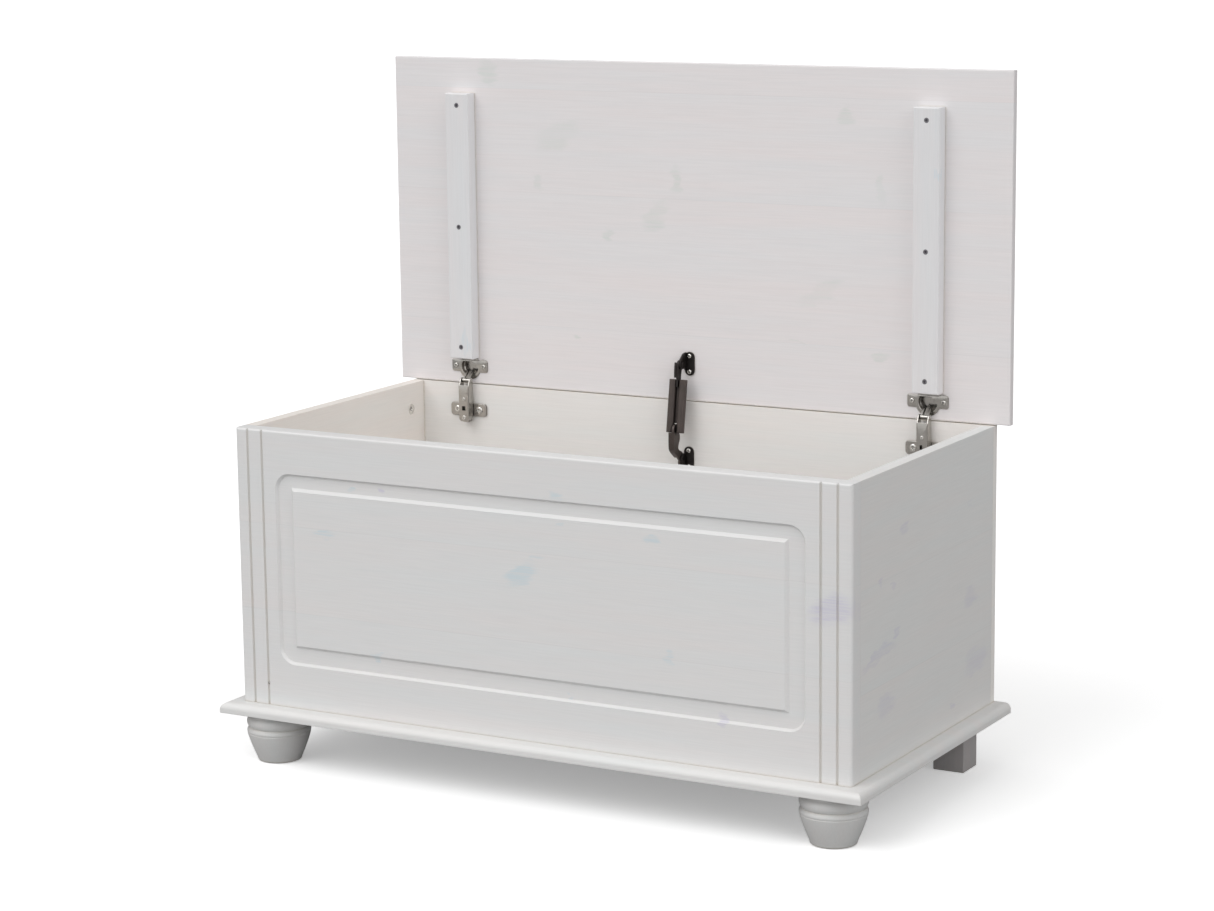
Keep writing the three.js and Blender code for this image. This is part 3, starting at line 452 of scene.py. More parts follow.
def glazed_pine(name, grain, face="xz", knots=(), joints=(), shade="#ffffff"):
    """White-glazed solid pine: sawn, planed, glued edge to edge and sprayed with a thin satin glaze.

    The eye sees an even pale grey-white, hairline grain, faint knots under the glaze and, where boards are
    glued from planks, a thin joint line and a slight change of tint. Grain runs along the axis named grain;
    knots, pairs of a tint and a list, lie in the plane of the two axes named by face; the tints and shade
    multiply the glaze's colour, and shade is a painted light level of the board. In grooves and corners a
    warm painted shade darkens the colour.
    """
    finish = bpy.context.scene.bench_finish
    material, tree, shader = blank(name)
    place = add(tree, "TexCoord").outputs["Object"]
    along = "xyz".index(grain)
    fine = [1 / finish.grain_pitch] * 3
    fine[along] = 1 / GRAIN_LENGTH
    broad = [1 / FIGURE_WIDTH] * 3
    broad[along] = 1 / FIGURE_LENGTH
    fine_place = add(tree, "Mapping", {"Vector": place}, Scale=fine).outputs[0]
    broad_place = add(tree, "Mapping", {"Vector": place}, Scale=broad).outputs[0]
    lines = add(
        tree, "TexNoise", {"Vector": fine_place}, Scale=1.0, Detail=2.0, Roughness=0.6
    ).outputs[0]
    figure = add(
        tree, "TexNoise", {"Vector": broad_place}, Scale=1.0, Detail=4.0, Roughness=0.55
    ).outputs[0]
    tint = add(tree, "MapRange", {"Value": figure}, From_Min=0.3, From_Max=0.7).outputs[0]
    streak = add(
        tree, "MapRange", {"Value": lines}, From_Min=0.3, From_Max=0.7, To_Min=0.972, To_Max=1.01
    ).outputs[0]
    tint, streak = planks(tree, place, tint, streak, joints)
    # shade paints in the board's light level: lighter or darker copies of one glaze.
    cool, warm, over = finish.glaze_cool, finish.glaze_warm, linear(shade)
    colour = add(
        tree, "Mix", {0: tint}, data_type="RGBA", blend_type="MIX",
        i6=[c * o for c, o in zip(cool, over)], i7=[w * o for w, o in zip(warm, over)],
    ).outputs[2]
    grey = add(tree, "CombineColor", {0: streak, 1: streak, 2: streak}).outputs[0]
    colour = add(
        tree, "Mix", {6: colour, 7: grey}, data_type="RGBA", blend_type="MULTIPLY", i0=1.0
    ).outputs[2]
    # The knots show in patches and dashes, as the glaze is thicker in some places and fills some pores.
    patchy = add(
        tree, "MapRange", {"Value": figure}, From_Min=0.35, From_Max=0.6, To_Min=0.35, To_Max=1.0
    ).outputs[0]
    dashed = add(
        tree, "MapRange", {"Value": lines}, From_Min=0.35, From_Max=0.6, To_Min=0.25, To_Max=1.2
    ).outputs[0]
    uneven = add(tree, "Math", {0: patchy, 1: dashed}, operation="MULTIPLY").outputs[0]
    for knot_tint, spots in knots:
        mask = knot_mask(tree, place, along, face, spots)
        amount = add(tree, "Math", {0: mask, 1: uneven}, operation="MULTIPLY").outputs[0]
        amount = add(tree, "Math", {0: amount}, operation="MULTIPLY", i1=finish.knot_strength).outputs[0]
        colour = add(
            tree, "Mix", {0: amount, 6: colour}, data_type="RGBA", blend_type="MULTIPLY", i7=linear(knot_tint)
        ).outputs[2]
    # Painted shade: where little open air lies within a few millimetres, in grooves and corners, the colour
    # is darkened towards a warm tint.
    open_air = add(tree, "AmbientOcclusion", samples=8, Distance=GROOVE_SHADE_REACH).outputs["AO"]
    groove_shade = add(
        tree, "MapRange", {"Value": open_air}, From_Min=0.3, From_Max=0.85, To_Min=0.8, To_Max=0.0
    ).outputs[0]
    colour = add(
        tree, "Mix", {0: groove_shade, 6: colour}, data_type="RGBA", blend_type="MULTIPLY", i7=linear(GROOVE_SHADE_TINT)
    ).outputs[2]
    bump = add(tree, "Bump", {"Height": lines}, Strength=0.3, Distance=finish.grain_depth)
    rough = add(tree, "MapRange", {"Value": figure}, To_Min=0.42, To_Max=0.56)
    tree.links.new(colour, shader.inputs["Base Color"])
    tree.links.new(rough.outputs[0], shader.inputs["Roughness"])
    tree.links.new(bump.outputs[0], shader.inputs["Normal"])
    shader.inputs["IOR"].default_value = 1.5
    return material


def painted_recess_shade(tree, shader, colour, reach):
    """Painted shade in the corners: the colour darkens where little open air lies within reach."""
    air = add(tree, "AmbientOcclusion", samples=8, Distance=reach).outputs["AO"]
    share = add(tree, "MapRange", {"Value": air}, From_Min=0.25, From_Max=0.8).outputs[0]
    dark = add(tree, "Mix", {0: share, 7: colour}, data_type="RGBA", i6=linear(RECESS_SHADE))
    tree.links.new(dark.outputs[2], shader.inputs["Base Color"])


def plated_steel(name, colour, roughness, hollow, edge=None):
    """Pressed steel with a thin bright plating: a metal with faint handling marks and uneven gloss.

    With an edge colour, the edges of the sheet, which don't face along y, are painted darker with it, as
    shade.
    Recesses narrower than the length hollow get a painted shade, and look dark.
    """
    material, tree, shader = blank(name)
    place = add(tree, "TexCoord").outputs["Object"]
    cloud = add(tree, "TexNoise", {"Vector": place}, Scale=300.0, Detail=3.0).outputs[0]
    # Rolling marks, 0.4 mm apart and 4 mm long.
    marks_place = add(tree, "Mapping", {"Vector": place}, Scale=(2500, 2500, 250)).outputs[0]
    marks = add(tree, "TexNoise", {"Vector": marks_place}, Scale=1.0, Detail=2.0).outputs[0]
    gloss = add(tree, "MapRange", {"Value": cloud}, To_Min=roughness * 0.75, To_Max=roughness * 1.3)
    if edge:
        # Painted shade: the faces that don't face along y blend towards the dark edge colour.
        facing = add(tree, "SeparateXYZ", {"Vector": add(tree, "TexCoord").outputs["Normal"]}).outputs["Y"]
        flat = add(tree, "Math", {0: facing}, operation="ABSOLUTE").outputs[0]
        share = add(tree, "MapRange", {"Value": flat}, From_Min=0.35, From_Max=0.9).outputs[0]
        face = add(tree, "Mix", {0: share}, data_type="RGBA", i6=linear(edge), i7=linear(colour)).outputs[2]
    else:
        face = add(tree, "RGB").outputs[0]
        face.default_value = linear(colour)
    # Painted shade in the recesses and corners of the pressed steel and the screws.
    painted_recess_shade(tree, shader, face, hollow)
    shader.inputs["Metallic"].default_value = 1.0
    tree.links.new(gloss.outputs[0], shader.inputs["Roughness"])
    bump = add(tree, "Bump", {"Height": marks}, Strength=0.06, Distance=0.0001)
    tree.links.new(bump.outputs[0], shader.inputs["Normal"])
    return material


def bronze_lacquer(name, dark, light):
    """Steel under a dark bronze lacquer, baked on: a satin brown-grey with a fine orange-peel surface."""
    material, tree, shader = blank(name)
    place = add(tree, "TexCoord").outputs["Object"]
    peel = add(tree, "TexNoise", {"Vector": place}, Scale=900.0, Detail=2.0).outputs[0]
    cloud = add(tree, "TexNoise", {"Vector": place}, Scale=60.0, Detail=3.0).outputs[0]
    colour = add(tree, "Mix", {0: cloud}, data_type="RGBA", i6=linear(dark), i7=linear(light)).outputs[2]
    # Painted shade in the valleys and corners of the stay.
    painted_recess_shade(tree, shader, colour, 0.006)
    gloss = add(tree, "MapRange", {"Value": peel}, To_Min=0.34, To_Max=0.48)
    tree.links.new(gloss.outputs[0], shader.inputs["Roughness"])
    bump = add(tree, "Bump", {"Height": peel}, Strength=0.12, Distance=0.0001)
    tree.links.new(bump.outputs[0], shader.inputs["Normal"])
    shader.inputs["Metallic"].default_value = 0.55
    return material


FINISHES = {}
BOARD_FINISHES = {
    "front_panel": "front", "back_panel": "back", "left_side_panel": "left_side", "right_side_panel": "side",
    "base_board": "base", "lid_panel": "lid", "left_batten": "batten", "right_batten": "batten",
}


def finish_of(node):
    """The name of a CAD node's finish."""
    if node in BOARD_FINISHES:
        return BOARD_FINISHES[node]
    if node.endswith("foot"):
        return "foot" if node.startswith("front") else "block"
    if any(word in node for word in ("screw", "stud", "cam", "panel_pin")):
        return "zinc"
    return "bronze" if node.startswith("stay") else "nickel"


def paint(material, node):
    """Gives a CAD node a finish, in the slots it already has."""
    slots = frame["nodes"][node].data.materials
    if not slots:
        slots.append(material)
    for i in range(len(slots)):
        slots[i] = material


class BENCH_OT_finishes(bpy.types.Operator):
    """Make the wood, steel and lacquer finishes and put them on the CAD nodes"""

    bl_idname = "bench.finishes"
    bl_label = "Finishes"

    def execute(self, context):
        blue, mauve, pale_mauve, green = "#eef9fe", "#f0eefa", "#f4f3fb", "#f3f8f5"
        front_knots = ((blue, FRONT_KNOTS), (mauve, FRONT_MAUVE_KNOTS))
        side_knots = ((pale_mauve, SIDE_KNOTS),)
        lid_knots = ((green, LID_KNOTS),)
        batten_knots = ((blue, BATTEN_KNOTS),)
        # Each board's shade is a painted light level, for how light falls on it: the lid, the back and the
        # left side, whose inside is seen, are painted lighter, and the turned front feet and the square rear
        # feet are painted darker, as for the shade under the base.
        FINISHES.update(
            front=glazed_pine("glazed_pine_front", "x", "xz", front_knots, FRONT_JOINTS, "#f1f1f1"),
            side=glazed_pine("glazed_pine_side", "y", "yz", side_knots, SIDE_JOINTS, "#f1f1f0"),
            left_side=glazed_pine("glazed_pine_left_side", "y", "yz", (), SIDE_JOINTS, "#fffaf4"),
            back=glazed_pine("glazed_pine_back", "x", "xz", (), FRONT_JOINTS, "#fffdfa"),
            lid=glazed_pine("glazed_pine_lid", "x", "xz", lid_knots, LID_JOINTS, "#fbf8f9"),
            base=glazed_pine("glazed_pine_base", "x", shade="#f0f0ef"),
            batten=glazed_pine("glazed_pine_batten", "z", "xz", batten_knots, shade="#f6f6f8"),
            foot=glazed_pine("glazed_pine_turned", "z", shade="#e2e2e1"),
            block=glazed_pine("painted_shade_pine_rear_foot", "z", shade="#bcb8b8"),
            nickel=plated_steel("nickel_plated_steel", "#c0bdb8", 0.24, 0.004),
            # the same nickel with a painted shade on the edges of its sheet
            sheared=plated_steel("sheared_nickel_plated_steel", "#c0bdb8", 0.24, 0.004, "#7d7771"),
            zinc=plated_steel("bright_zinc_steel", "#e2e0db", 0.12, 0.0025),
            dull=plated_steel("dull_zinc_steel", "#8d8b90", 0.35, 0.0015),
            bronze=bronze_lacquer("bronze_lacquered_steel", "#46403d", "#5c524e"),
            bronze_plate=bronze_lacquer("dark_bronze_lacquered_steel", "#262322", "#332e2c"),
        )
        for node in frame["nodes"]:
            paint(FINISHES[finish_of(node)], node)
        return {"FINISHED"}


class BENCH_OT_feet(bpy.types.Operator):
    """Turn the two front feet, with two beads over a taper, and saw the two square rear feet"""

    bl_idname = "bench.feet"
    bl_label = "Feet"

    def execute(self, context):
        shape = context.scene.bench_shape
        bead = shape.bead_radius / METRE
        crease = shape.crease_depth / METRE
        for side in SIDES:
            node = f"front_{side}_foot"
            low, high = box_mm(node)
            # The body narrows to the sole: R - 0.3 - 12.8 u^1.2, with u from 0 to 1 downwards. A bead is
            # R - d v^2, with v from -1 to 1 over its height and d the depth of the crease.
            z = np.linspace(3.4, 38.6, 26)
            body = bead - 0.3 - 12.8 * ((39.2 - z) / 35.8) ** 1.2
            v = np.linspace(-1, 1, 20)
            lower, upper = v[v > -0.45], v
            profile = np.concatenate([
                [[20.0, 0.0], [27.6, 0.0], [28.9, 0.5], [29.7, 1.6]],
                np.stack([body, z], 1),
                [[bead - 0.8, 39.1]],
                np.stack([bead - crease * lower**2, 41.8 + 4.8 * lower], 1),
                np.stack([bead - crease * np.abs(upper) ** 2.2, 54.0 + 7.2 * upper], 1)[1:],
                [[bead - crease - 0.5, 61.7], [bead - crease - 0.5, high[2]], [10, high[2]]],
            ])
            turning = turned(profile, "z", (*middle_mm(node)[:2], 0), 96)
            skin(node + "_turning", [turning], FINISHES["foot"], "chest", [node], 50)
            node = f"rear_{side}_foot"
            low, high = box_mm(node)
            square = rectangle(low[0], low[1], high[0], high[1], 1.5)
            block = plate(square, "z", low[2], high[2], 1.2)
            skin(node + "_block", [block], FINISHES["block"], "chest", [node])
        return {"FINISHED"}


class BENCH_OT_screws(bpy.types.Operator):
    """Make the pan-head and countersunk screws with their cross recesses"""

    bl_idname = "bench.screws"
    bl_label = "Screws"

    def execute(self, context):
        recess = context.scene.bench_shape.recess_depth / METRE
        pan, sunk, shank = 1.8, 0.05, 1.6  # heights of the two kinds of head, and the shank's radius
        bodies = frame["record"]["behaviour"]["bodies"].items()
        for node in sorted(n for n in frame["nodes"] if "screw" in n):
            low, high = box_mm(node)
            body = next(name for name, nodes in bodies if node in nodes)
            flat = "batten" in node
            x, _, z = middle_mm(node)
            seat = low[1] if flat else low[1] + pan
            radius = (high[0] - low[0]) / 2 * (1.2 if "plate_screw" in node else 1)
            height = sunk if flat else pan
            rings = cross_head(radius, height, recess, shank, high[1] - seat, "y", (x, seat, z), -1)
            finish = FINISHES["dull" if flat else "zinc"]
            skin(node + "_cross", [rings], finish, body, [node], 60)
        return {"FINISHED"}


class BENCH_OT_cams(bpy.types.Operator):
    """Make the cross-slotted cams of the panel connectors and the pin in the front panel"""

    bl_idname = "bench.cams"
    bl_label = "Cams and pin"

    def execute(self, context):
        for node in sorted(n for n in frame["nodes"] if n.endswith("_cam")):
            low, high = box_mm(node)
            face, way = (high[0], 1) if node.startswith("left") else (low[0], -1)
            centre = (face, *middle_mm(node)[1:])
            radius = (high[2] - low[2]) / 2
            rings = cross_head(radius, 0.01, 2.2, radius - 0.4, high[0] - low[0], "x", centre, way, 0.5)
            skin(node + "_disc", [rings], FINISHES["zinc"], "chest", [node], 60)
        node = "front_panel_pin"
        low, high = box_mm(node)
        x, _, z = middle_mm(node)
        radius = (high[0] - low[0]) / 2
        rings = cross_head(radius, 0.3, 0.5, 1.5, high[1] - low[1], "y", (x, low[1], z), -1, 0.5, 32)
        skin(node + "_head", [rings], FINISHES["zinc"], "chest", [node], 60)
        return {"FINISHED"}


class BENCH_OT_hinges(bpy.types.Operator):
    """Press the two cup hinges: cup and flange, mounting plate, arm, link and pin"""

    bl_idname = "bench.hinges"
    bl_label = "Cup hinges"

    def execute(self, context):
        ease = context.scene.bench_shape.edge_ease / METRE
        for side in SIDES:
            self.cup(side, ease)
            self.mounting_plate(side, ease)
            self.arm(side, ease)
            self.link(side, ease)
        return {"FINISHED"}

    def cup(self, side, ease):
        """A pan and its flange: rings about the cup's middle, in the directions of the flange's outline."""
        node = f"{side}_hinge_cup"
        low, high = box_mm(node)
        x, half = (low[0] + high[0]) / 2, (high[0] - low[0]) / 2
        rim, pan, wall = 18.2, 15.4, 17.3  # radii of the flange, the pan's inside and its outside
        middle = (x, 0, low[2] + rim)
        ear_low, ear_high = -7.8, 9.2  # edges of the flange's two ears, from the cup's middle
        reach = math.sqrt(rim**2 - ear_low**2)
        slope = math.atan2(reach, -ear_low)
        corner = reach - (rim + ear_low) / math.tan(slope)
        flange = arcs([
            (half, ear_low, 3.2), (half, ear_high + 0.4, 4.5), (21.5, ear_high + 2, 5),
            (14.6, ear_high - 0.4, 3), (-half, ear_high, 2), (-half, ear_low, 3.5), (-reach, ear_low, 1.2),
            (-corner, -rim, 15.5), (corner, -rim, 15.5), (reach, ear_low, 1.2),
        ], 8)
        flange = spread(flange)
        away = flange / np.linalg.norm(flange, axis=1, keepdims=True)
        rightwards, upwards = away.T
        # The mouth is round below, straight above, and cut off on the right, where the flange is wider.
        mouth = np.minimum(13.6, 6.9 / np.maximum(upwards, 0.01))
        cut = np.where(upwards > 0.5, 4.2, 8.7) / np.maximum(rightwards, 0.01)
        mouth = away * np.where(upwards > -0.1, np.minimum(mouth, cut), mouth)[:, None]
        face, back, bottom = low[1], low[1] + 1.0, high[1]
        levels = (
            # the pan's inside, from the middle of its floor to the back of the flange
            (away * 0.5, bottom - 1.3), (away * (pan - 1.2), bottom - 1.3), (away * pan, bottom - 2.6),
            (away * (pan + 0.4), back + 0.4),
            # the mouth and the flange
            (mouth + away * 0.3, back), (mouth, face + 0.4), (mouth + away * 0.5, face),
            (inset(flange, ease), face), (inset(flange, ease * 0.3), face + ease * 0.3),
            (flange, face + ease), (inset(flange, ease * 0.3), back),
            # the pan's outside, down to the middle of its floor
            (away * wall, back), (away * wall, bottom - 2), (away * pan, bottom), (away * 0.5, bottom),
        )
        pressing = carried(*zip(*levels), "y", middle)
        skin(node + "_pressing", [pressing], FINISHES["sheared"], "lid", [node])

    def mounting_plate(self, side, ease):
        """Two wings with round corners and the boss that the arm clips over."""
        node = f"{side}_hinge_plate"
        low, high = box_mm(node)
        x = middle_mm(node)[0]
        screw_low, screw_high = box_mm(f"{side}_plate_screw_1")
        around, boss_half = 4.8, 5.5  # of the wings past the screws, and half the boss's width
        wings = rectangle(low[0], screw_low[2] - around, high[0], screw_high[2] + around, 4)
        boss = rectangle(x - boss_half, low[2], x + boss_half, high[2], 2)
        stacks = [
            plate(wings, "y", high[1] - 2.4, high[1], 2 * ease),
            plate(boss, "y", low[1], high[1] - 2.3, ease),
        ]
        skin(node + "_pressing", stacks, FINISHES["sheared"], "chest", [node])

    def arm(self, side, ease):
        """A channel: a face with a square slot, two cheeks that end in round eyes, and two set screws."""
        node = f"{side}_hinge_arm"
        low, high = box_mm(node)
        x, half = (low[0] + high[0]) / 2, (high[0] - low[0]) / 2
        _, pin_y, pin_z = middle_mm(f"{side}_hinge_pin")
        front, back, bottom = low[1], high[1], low[2]
        eye = 3.6
        face_top = pin_z - 6.3
        slot_z = bottom + 19.0
        face = spread(arcs([
            (-half, bottom + 3 - slot_z, 3), (-half + 3, bottom - slot_z, 3), (half - 3, bottom - slot_z, 3),
            (half, bottom + 3 - slot_z, 3), (half, face_top - slot_z, 1.5), (-half, face_top - slot_z, 1.5),
        ], 5))
        away = face / np.abs(face).max(1, keepdims=True)
        web = pierced(face, away * 3.1, "y", front, front + 1.6, ease, (x, 0, slot_z))
        cheek = arcs([
            (front + 0.2, bottom + 4, 3), (front + 5, bottom + 0.4, 3), (back, bottom + 6, 3),
            (back, pin_z - 12, 3), (pin_y + eye, pin_z - 8, 3), (pin_y + eye, pin_z + eye, eye - 0.1),
            (pin_y - eye, pin_z + eye, eye - 0.1), (front + 0.2, pin_z - 8, 4),
        ])
        cheeks = [plate(cheek, "x", at, at + 1.5, ease) for at in (x - half, x + half - 1.5)]
        skin(node + "_pressing", [web, *cheeks], FINISHES["nickel"], "chest", [node])
        for name, z, radius in (("upper", slot_z + 13.2, 2.5), ("lower", slot_z - 13.4, 3.2)):
            screw = cross_head(radius, 0.8, 0.7, 1.4, 5, "y", (x, front - 0.02, z), -1, 0.6, 40)
            skin(f"{side}_arm_set_screw_{name}", [screw], FINISHES["zinc"], "chest", (), 60)

    def link(self, side, ease):
        """A barrel on the pin and three straps that run from it into the cup, the middle one curved."""
        node = f"{side}_hinge_link"
        low, high = box_mm(node)
        x, half = (low[0] + high[0]) / 2, (high[0] - low[0]) / 2
        pin_low, pin_high = box_mm(f"{side}_hinge_pin")
        pin = np.array([(pin_low[1] + pin_high[1]) / 2, (pin_low[2] + pin_high[2]) / 2])
        tip = np.array([high[1] - 1.6, high[2] - 1.6])
        along = (tip - pin) / np.linalg.norm(tip - pin)
        over = np.array([-along[1], along[0]])
        outer = bend([pin + over * 1.2, pin + (tip - pin) * 0.5 + over * 1.1, tip], 16)
        inner = bend([pin - over * 1.0, pin + (tip - pin) * 0.5 - over * 0.4, tip], 16)
        straps = [
            plate(ribbon(outer, 2.6), "x", x - half, x - half + 2.6, ease),
            plate(ribbon(outer, 2.6), "x", x + half - 2.6, x + half, ease),
            plate(ribbon(inner, 1.6), "x", x - 2.4, x + 2.4, ease),
        ]
        barrel = [
            [0.3, -half], [2.4, -half], [2.8, ease - half], [2.8, half - ease], [2.4, half], [0.3, half],
        ]
        stacks = [turned(barrel, "x", (x, *pin), 40), *straps]
        skin(node + "_straps", stacks, FINISHES["nickel"], f"{side}_hinge_link", [node])
        node = f"{side}_hinge_pin"
        reach = (pin_high[0] - pin_low[0]) / 2
        profile = [
            [0.2, -reach], [1.1, -reach + 0.1], [1.5, -reach + 0.5],
            [1.5, reach - 0.5], [1.1, reach - 0.1], [0.2, reach],
        ]
        rivet = turned(profile, "x", (x, *pin), 32)
        skin(node + "_rivet", [rivet], FINISHES["nickel"], "chest", [node])


ARM_TOP = 8  # radius of the lower arm's round top, in which the stay's middle pivot lies


class BENCH_OT_stay(bpy.types.Operator):
    """Make the lid stay: two oval brackets with ears, two rivets, the twin spring barrels and both arms"""

    bl_idname = "bench.stay"
    bl_label = "Lid stay"

    def execute(self, context):
        ease = context.scene.bench_shape.edge_ease / METRE
        upper = middle_mm("stay_upper_rivet")[1:]
        lower = middle_mm("stay_lower_rivet")[1:]
        arm_low, arm_high = box_mm("stay_lower_arm")
        middle = np.array([arm_low[1] + ARM_TOP, arm_high[2] - ARM_TOP])
        self.bracket("stay_upper_bracket", "lid", upper, 0.95, ease)
        self.bracket("stay_lower_bracket", "chest", lower, 0.45, ease)
        for node, body in (("stay_upper_rivet", "lid"), ("stay_lower_rivet", "chest")):
            self.rivet(node, body)
        self.housing(middle, upper)
        self.upper_arm(middle, upper, ease)
        self.lower_arm(middle, lower, ease)
        return {"FINISHED"}

    def bracket(self, node, body, pivot, share, ease):
        """An oval plate and an ear that stands out from its left edge and ends in a round eye.

        share is how far up the plate the ear starts, in half heights from the plate's middle.
        """
        low, high = box_mm(node)
        oval = rectangle(low[0], low[2], high[0], high[2], 7.3)
        foot = high[1] - 0.8
        tall = (high[2] - low[2]) / 2
        centre = (high[2] + low[2]) / 2
        ear = arcs([
            (foot, centre - tall * 0.62, 0.3), (foot, centre + tall * share, 0.3),
            (foot - 8, centre + tall * (share - 0.05), 7), (pivot[0] - 5.6, pivot[1] + 7, 6),
            (pivot[0] - 5.6, pivot[1] - 6.2, 5.5), (foot - 6, pivot[1] - 6.2, 3),
        ])
        stacks = [
            plate(oval, "y", high[1] - 1.6, high[1], ease),
            plate(ear, "x", low[0], low[0] + 2.6, ease),
        ]
        skin(node + "_pressing", stacks, FINISHES["bronze_plate"], body, [node])

    def rivet(self, node, body):
        """A domed head, a shank and a flat tail, turned about x."""
        low, high = box_mm(node)
        a = np.linspace(0, math.pi / 2, 8)
        head = np.stack([4.2 * np.sin(a), low[0] + 1.6 * (1 - np.cos(a))], 1)
        head[0, 0] = 0.1
        profile = np.concatenate([
            head, [[4.2, low[0] + 1.75], [2.2, low[0] + 1.75], [2.2, high[0] - 1.2]],
            [[3.4, high[0] - 1.2], [3.4, high[0] - 0.3], [3.1, high[0]], [0.1, high[0]]],
        ])
        turning = turned(profile, "x", (0, *middle_mm(node)[1:]), 40)
        skin(node + "_turning", [turning], FINISHES["bronze_plate"], body, [node])

    def housing(self, middle, upper):
        """Two barrels beside the arms with rolled ends and a sunk end face, and the web that joins them."""
        node = "stay_housing"
        low, high = box_mm(node)
        run = upper - middle
        length = np.linalg.norm(run)
        run /= length
        radius = 5.6
        start, end = -4.0, length - 20.5
        profile = np.array([
            [0.3, start + 0.5], [4.2, start + 0.5], [4.5, start], [5.2, start], [radius, start + 0.4],
            [radius, end - 0.4], [5.2, end], [4.5, end], [4.2, end - 0.5], [0.3, end - 0.5],
        ])
        lean = np.array([[1, 0, 0], [0, run[1], run[0]], [0, -run[0], run[1]]])
        base = np.array([0, *middle])
        stacks = []
        for x in (low[0] + radius, high[0] - radius):
            barrel = turned(profile, "z", (0, 0, 0), 48)
            stacks.append(barrel @ lean.T + base + (x, 0, 0))
        between = rectangle(low[0] + radius, 0.6, high[0] - radius, 3.6, 0.6)
        web = plate(between, "z", 9.2, end - 0.6, 0.4)
        stacks.append(web @ lean.T + base)
        skin(node + "_barrels", stacks, FINISHES["bronze"], "stay_spring_unit", [node])

    def upper_arm(self, middle, upper, ease):
        """A blade whose round eye on the rivet runs in one curve into the tang between the barrels.

        A stiffening flange is folded along its front edge.
        """
        node = "stay_upper_arm"
        low, high = box_mm(node)
        run = (upper - middle) / np.linalg.norm(upper - middle)
        off = np.array([run[1], -run[0]])
        end = upper - run * 31.0
        neck = upper - run * 14
        a = np.linspace(-0.15, math.pi + 0.35, 16)
        eye = upper + 6.0 * (np.cos(a)[:, None] * off + np.sin(a)[:, None] * run)
        left = bend([
            eye[-1], neck - off * 4.9 + run * 2, neck - off * 4.6 - run * 3, end - off * 4.2,
        ], 14)[1:]
        right = bend([
            end + off * 4.2, neck + off * 4.2 - run * 3, neck + off * 4.4 + run * 2, eye[0],
        ], 14)[:-1]
        outline = np.concatenate([eye, left, right])
        fold = bend([
            upper - off * 4.9 + run * 2.5, upper - off * 4.9 - run * 4,
            neck - off * 4.2, neck - off * 3.6 - run * 4.2,
        ], 16)
        stacks = [
            plate(outline, "x", low[0], high[0], ease),
            plate(ribbon(fold, 1.8), "x", low[0] - 3.4, low[0] + 0.1, ease),
        ]
        skin(node + "_blade", stacks, FINISHES["bronze_plate"], "stay_spring_unit", [node])

    def lower_arm(self, middle, lower, ease):
        """A blade with a wide round top, straight in front and then slanting, and hollow behind.

        A stiffening flange is folded along its front edge.
        """
        node = "stay_lower_arm"
        low, high = box_mm(node)
        y, z = middle
        end_y, end_z = lower
        a = np.linspace(0, math.pi, 14)
        top = middle + ARM_TOP * np.stack([np.cos(a), np.sin(a)], 1)
        front = bend([
            (y - ARM_TOP, z - 3), (y - ARM_TOP, z - 22), (y - 5, z - 30), (end_y - 5.5, end_z + 3),
        ], 20)
        b = np.linspace(math.pi, 2 * math.pi + 0.35, 12)
        eye = lower + 6 * np.stack([np.cos(b), np.sin(b)], 1)
        behind = bend([
            eye[-1], (end_y + 2.4, end_z + 13), (y + 5.8, z - 27), (y + 10.4, z - 13), (y + 8.3, z - 4),
        ], 24)[1:]
        outline = np.concatenate([top, front, eye, behind])
        fold = bend([(y - 7, z - 3.2), (y - 7, z - 22), (y - 4.2, z - 29.6), (end_y - 7, end_z + 8)], 20)
        stacks = [
            plate(outline, "x", low[0], high[0], ease),
            plate(ribbon(fold, 2), "x", low[0] - 5, low[0] + 0.1, ease),
        ]
        skin(node + "_blade", stacks, FINISHES["bronze"], "stay_arm", [node])


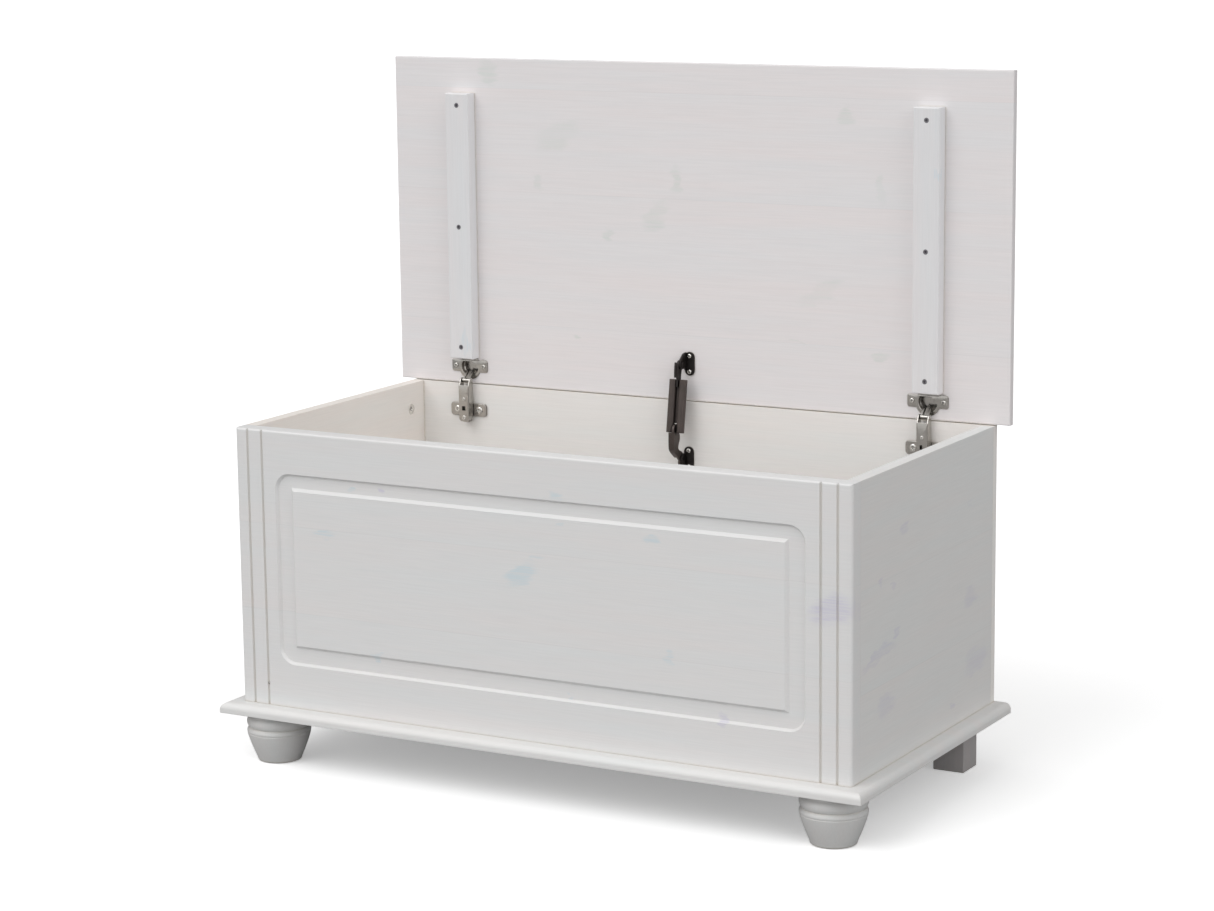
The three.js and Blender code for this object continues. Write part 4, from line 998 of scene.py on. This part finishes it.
class BENCH_OT_stage(bpy.types.Operator):
    """Set up the pale floor, the soft light and the camera"""

    bl_idname = "bench.stage"
    bl_label = "Studio"

    def execute(self, context):
        self.floor(context.scene)
        self.room(context.scene)
        self.suns(context.scene)
        self.camera(context.scene)
        context.scene.view_settings.view_transform = "Standard"
        return {"FINISHED"}

    def floor(self, scene):
        """A wide square that looks white and throws back less light than white would."""
        mesh = bpy.data.meshes.new("floor")
        a = FLOOR_REACH
        corners = [(x, y, -0.0004) for x, y in ((-a, -a), (a, -a), (a, a), (-a, a))]
        mesh.from_pydata(corners, [], [(0, 1, 2, 3)])
        floor = bpy.data.objects.new("floor", mesh)
        material, tree, shader = blank("white_floor")
        seen = add(tree, "LightPath").outputs["Is Camera Ray"]
        white = linear("#ffffff")
        tone = add(tree, "Mix", {0: seen}, data_type="RGBA", i6=linear(FLOOR_BOUNCE), i7=white)
        tree.links.new(tone.outputs[2], shader.inputs["Base Color"])
        # Painted light: the floor glows where the camera sees it, which keeps its shadows pale.
        glow = add(tree, "MapRange", {"Value": seen}, To_Max=FLOOR_GLOW)
        tree.links.new(glow.outputs[0], shader.inputs["Emission Strength"])
        shader.inputs["Roughness"].default_value = 0.9
        shader.inputs["Specular IOR Level"].default_value = 0.0
        mesh.materials.append(material)
        scene.collection.objects.link(floor)

    def room(self, scene):
        """A room that looks white and lights the bench most from in front, which the metal mirrors."""
        studio = scene.bench_studio
        world = bpy.data.worlds.new("studio")
        world.use_nodes = True
        tree = world.node_tree
        seen = add(tree, "LightPath").outputs["Is Camera Ray"]
        way = add(tree, "TexCoord").outputs["Generated"]
        facing = add(tree, "VectorMath", {0: way}, operation="DOT_PRODUCT", i1=ROOM_TOWARDS)
        glow = add(
            tree, "MapRange", {"Value": facing.outputs["Value"]},
            From_Min=-0.7, To_Min=studio.dim, To_Max=studio.bright,
        ).outputs[0]
        strength = add(tree, "Mix", {0: seen, 2: glow}, data_type="FLOAT", i3=1.0).outputs[0]
        background = tree.nodes["Background"].inputs
        tree.links.new(strength, background["Strength"])
        background["Color"].default_value = (1, 1, 1, 1)
        scene.world = world

    def suns(self, scene):
        """Two broad soft lights."""
        studio = scene.bench_studio
        for name, strength, towards, width in (
            ("key_light", studio.key, KEY_TOWARDS, KEY_WIDTH),
            ("side_light", studio.side, SIDE_TOWARDS, SIDE_WIDTH),
        ):
            light = bpy.data.lights.new(name, "SUN")
            light.energy = strength
            light.angle = math.radians(width)
            lamp = bpy.data.objects.new(name, light)
            lamp.rotation_euler = Vector(towards).to_track_quat("Z", "Y").to_euler()
            scene.collection.objects.link(lamp)

    def camera(self, scene):
        """Looks back along the way given by its turn and height, and is rolled about that."""
        lens = bpy.data.cameras.new("camera")
        lens.sensor_width = CAMERA_SENSOR
        lens.lens = CAMERA_LENS
        lens.clip_end = 200
        camera = bpy.data.objects.new("camera", lens)
        turn, height, roll = (math.radians(a) for a in CAMERA_ANGLES)
        level = math.cos(height)
        back = Vector((math.sin(turn) * level, -math.cos(turn) * level, math.sin(height)))
        right = Vector((math.cos(turn), math.sin(turn), 0))
        up = back.cross(right)
        axes = (
            math.cos(roll) * right + math.sin(roll) * up,
            -math.sin(roll) * right + math.cos(roll) * up,
            back,
        )
        camera.matrix_world = Matrix.Translation(CAMERA_PLACE) @ Matrix(axes).transposed().to_4x4()
        scene.collection.objects.link(camera)
        scene.camera = camera


OPERATORS = (
    BENCH_OT_finishes, BENCH_OT_feet, BENCH_OT_screws, BENCH_OT_cams, BENCH_OT_hinges, BENCH_OT_stay,
    BENCH_OT_stage,
)


class BENCH_PT_panel(bpy.types.Panel):
    """Lists the bench's operators, sizes and colours"""

    bl_idname = "BENCH_PT_panel"
    bl_label = "Storage bench"
    bl_space_type = "VIEW_3D"
    bl_region_type = "UI"
    bl_category = "Storage bench"

    def draw(self, context):
        for operator in OPERATORS:
            self.layout.operator(operator.bl_idname)
        scene = context.scene
        for group in (scene.bench_finish, scene.bench_shape, scene.bench_studio):
            for name in group.bl_rna.properties.keys():
                if name not in ("rna_type", "name"):
                    self.layout.prop(group, name)


CLASSES = (BenchFinish, BenchShape, BenchStudio, *OPERATORS, BENCH_PT_panel)


def register():
    for cls in CLASSES:
        bpy.utils.register_class(cls)
    bpy.types.Scene.bench_finish = PointerProperty(type=BenchFinish)
    bpy.types.Scene.bench_shape = PointerProperty(type=BenchShape)
    bpy.types.Scene.bench_studio = PointerProperty(type=BenchStudio)


def unregister():
    del bpy.types.Scene.bench_finish
    del bpy.types.Scene.bench_shape
    del bpy.types.Scene.bench_studio
    for cls in reversed(CLASSES):
        bpy.utils.unregister_class(cls)


def main():
    """Registers the add-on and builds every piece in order."""
    register()
    for operator in OPERATORS:
        group, name = operator.bl_idname.split(".")
        getattr(getattr(bpy.ops, group), name)()


if __name__ == "__main__":
    main()
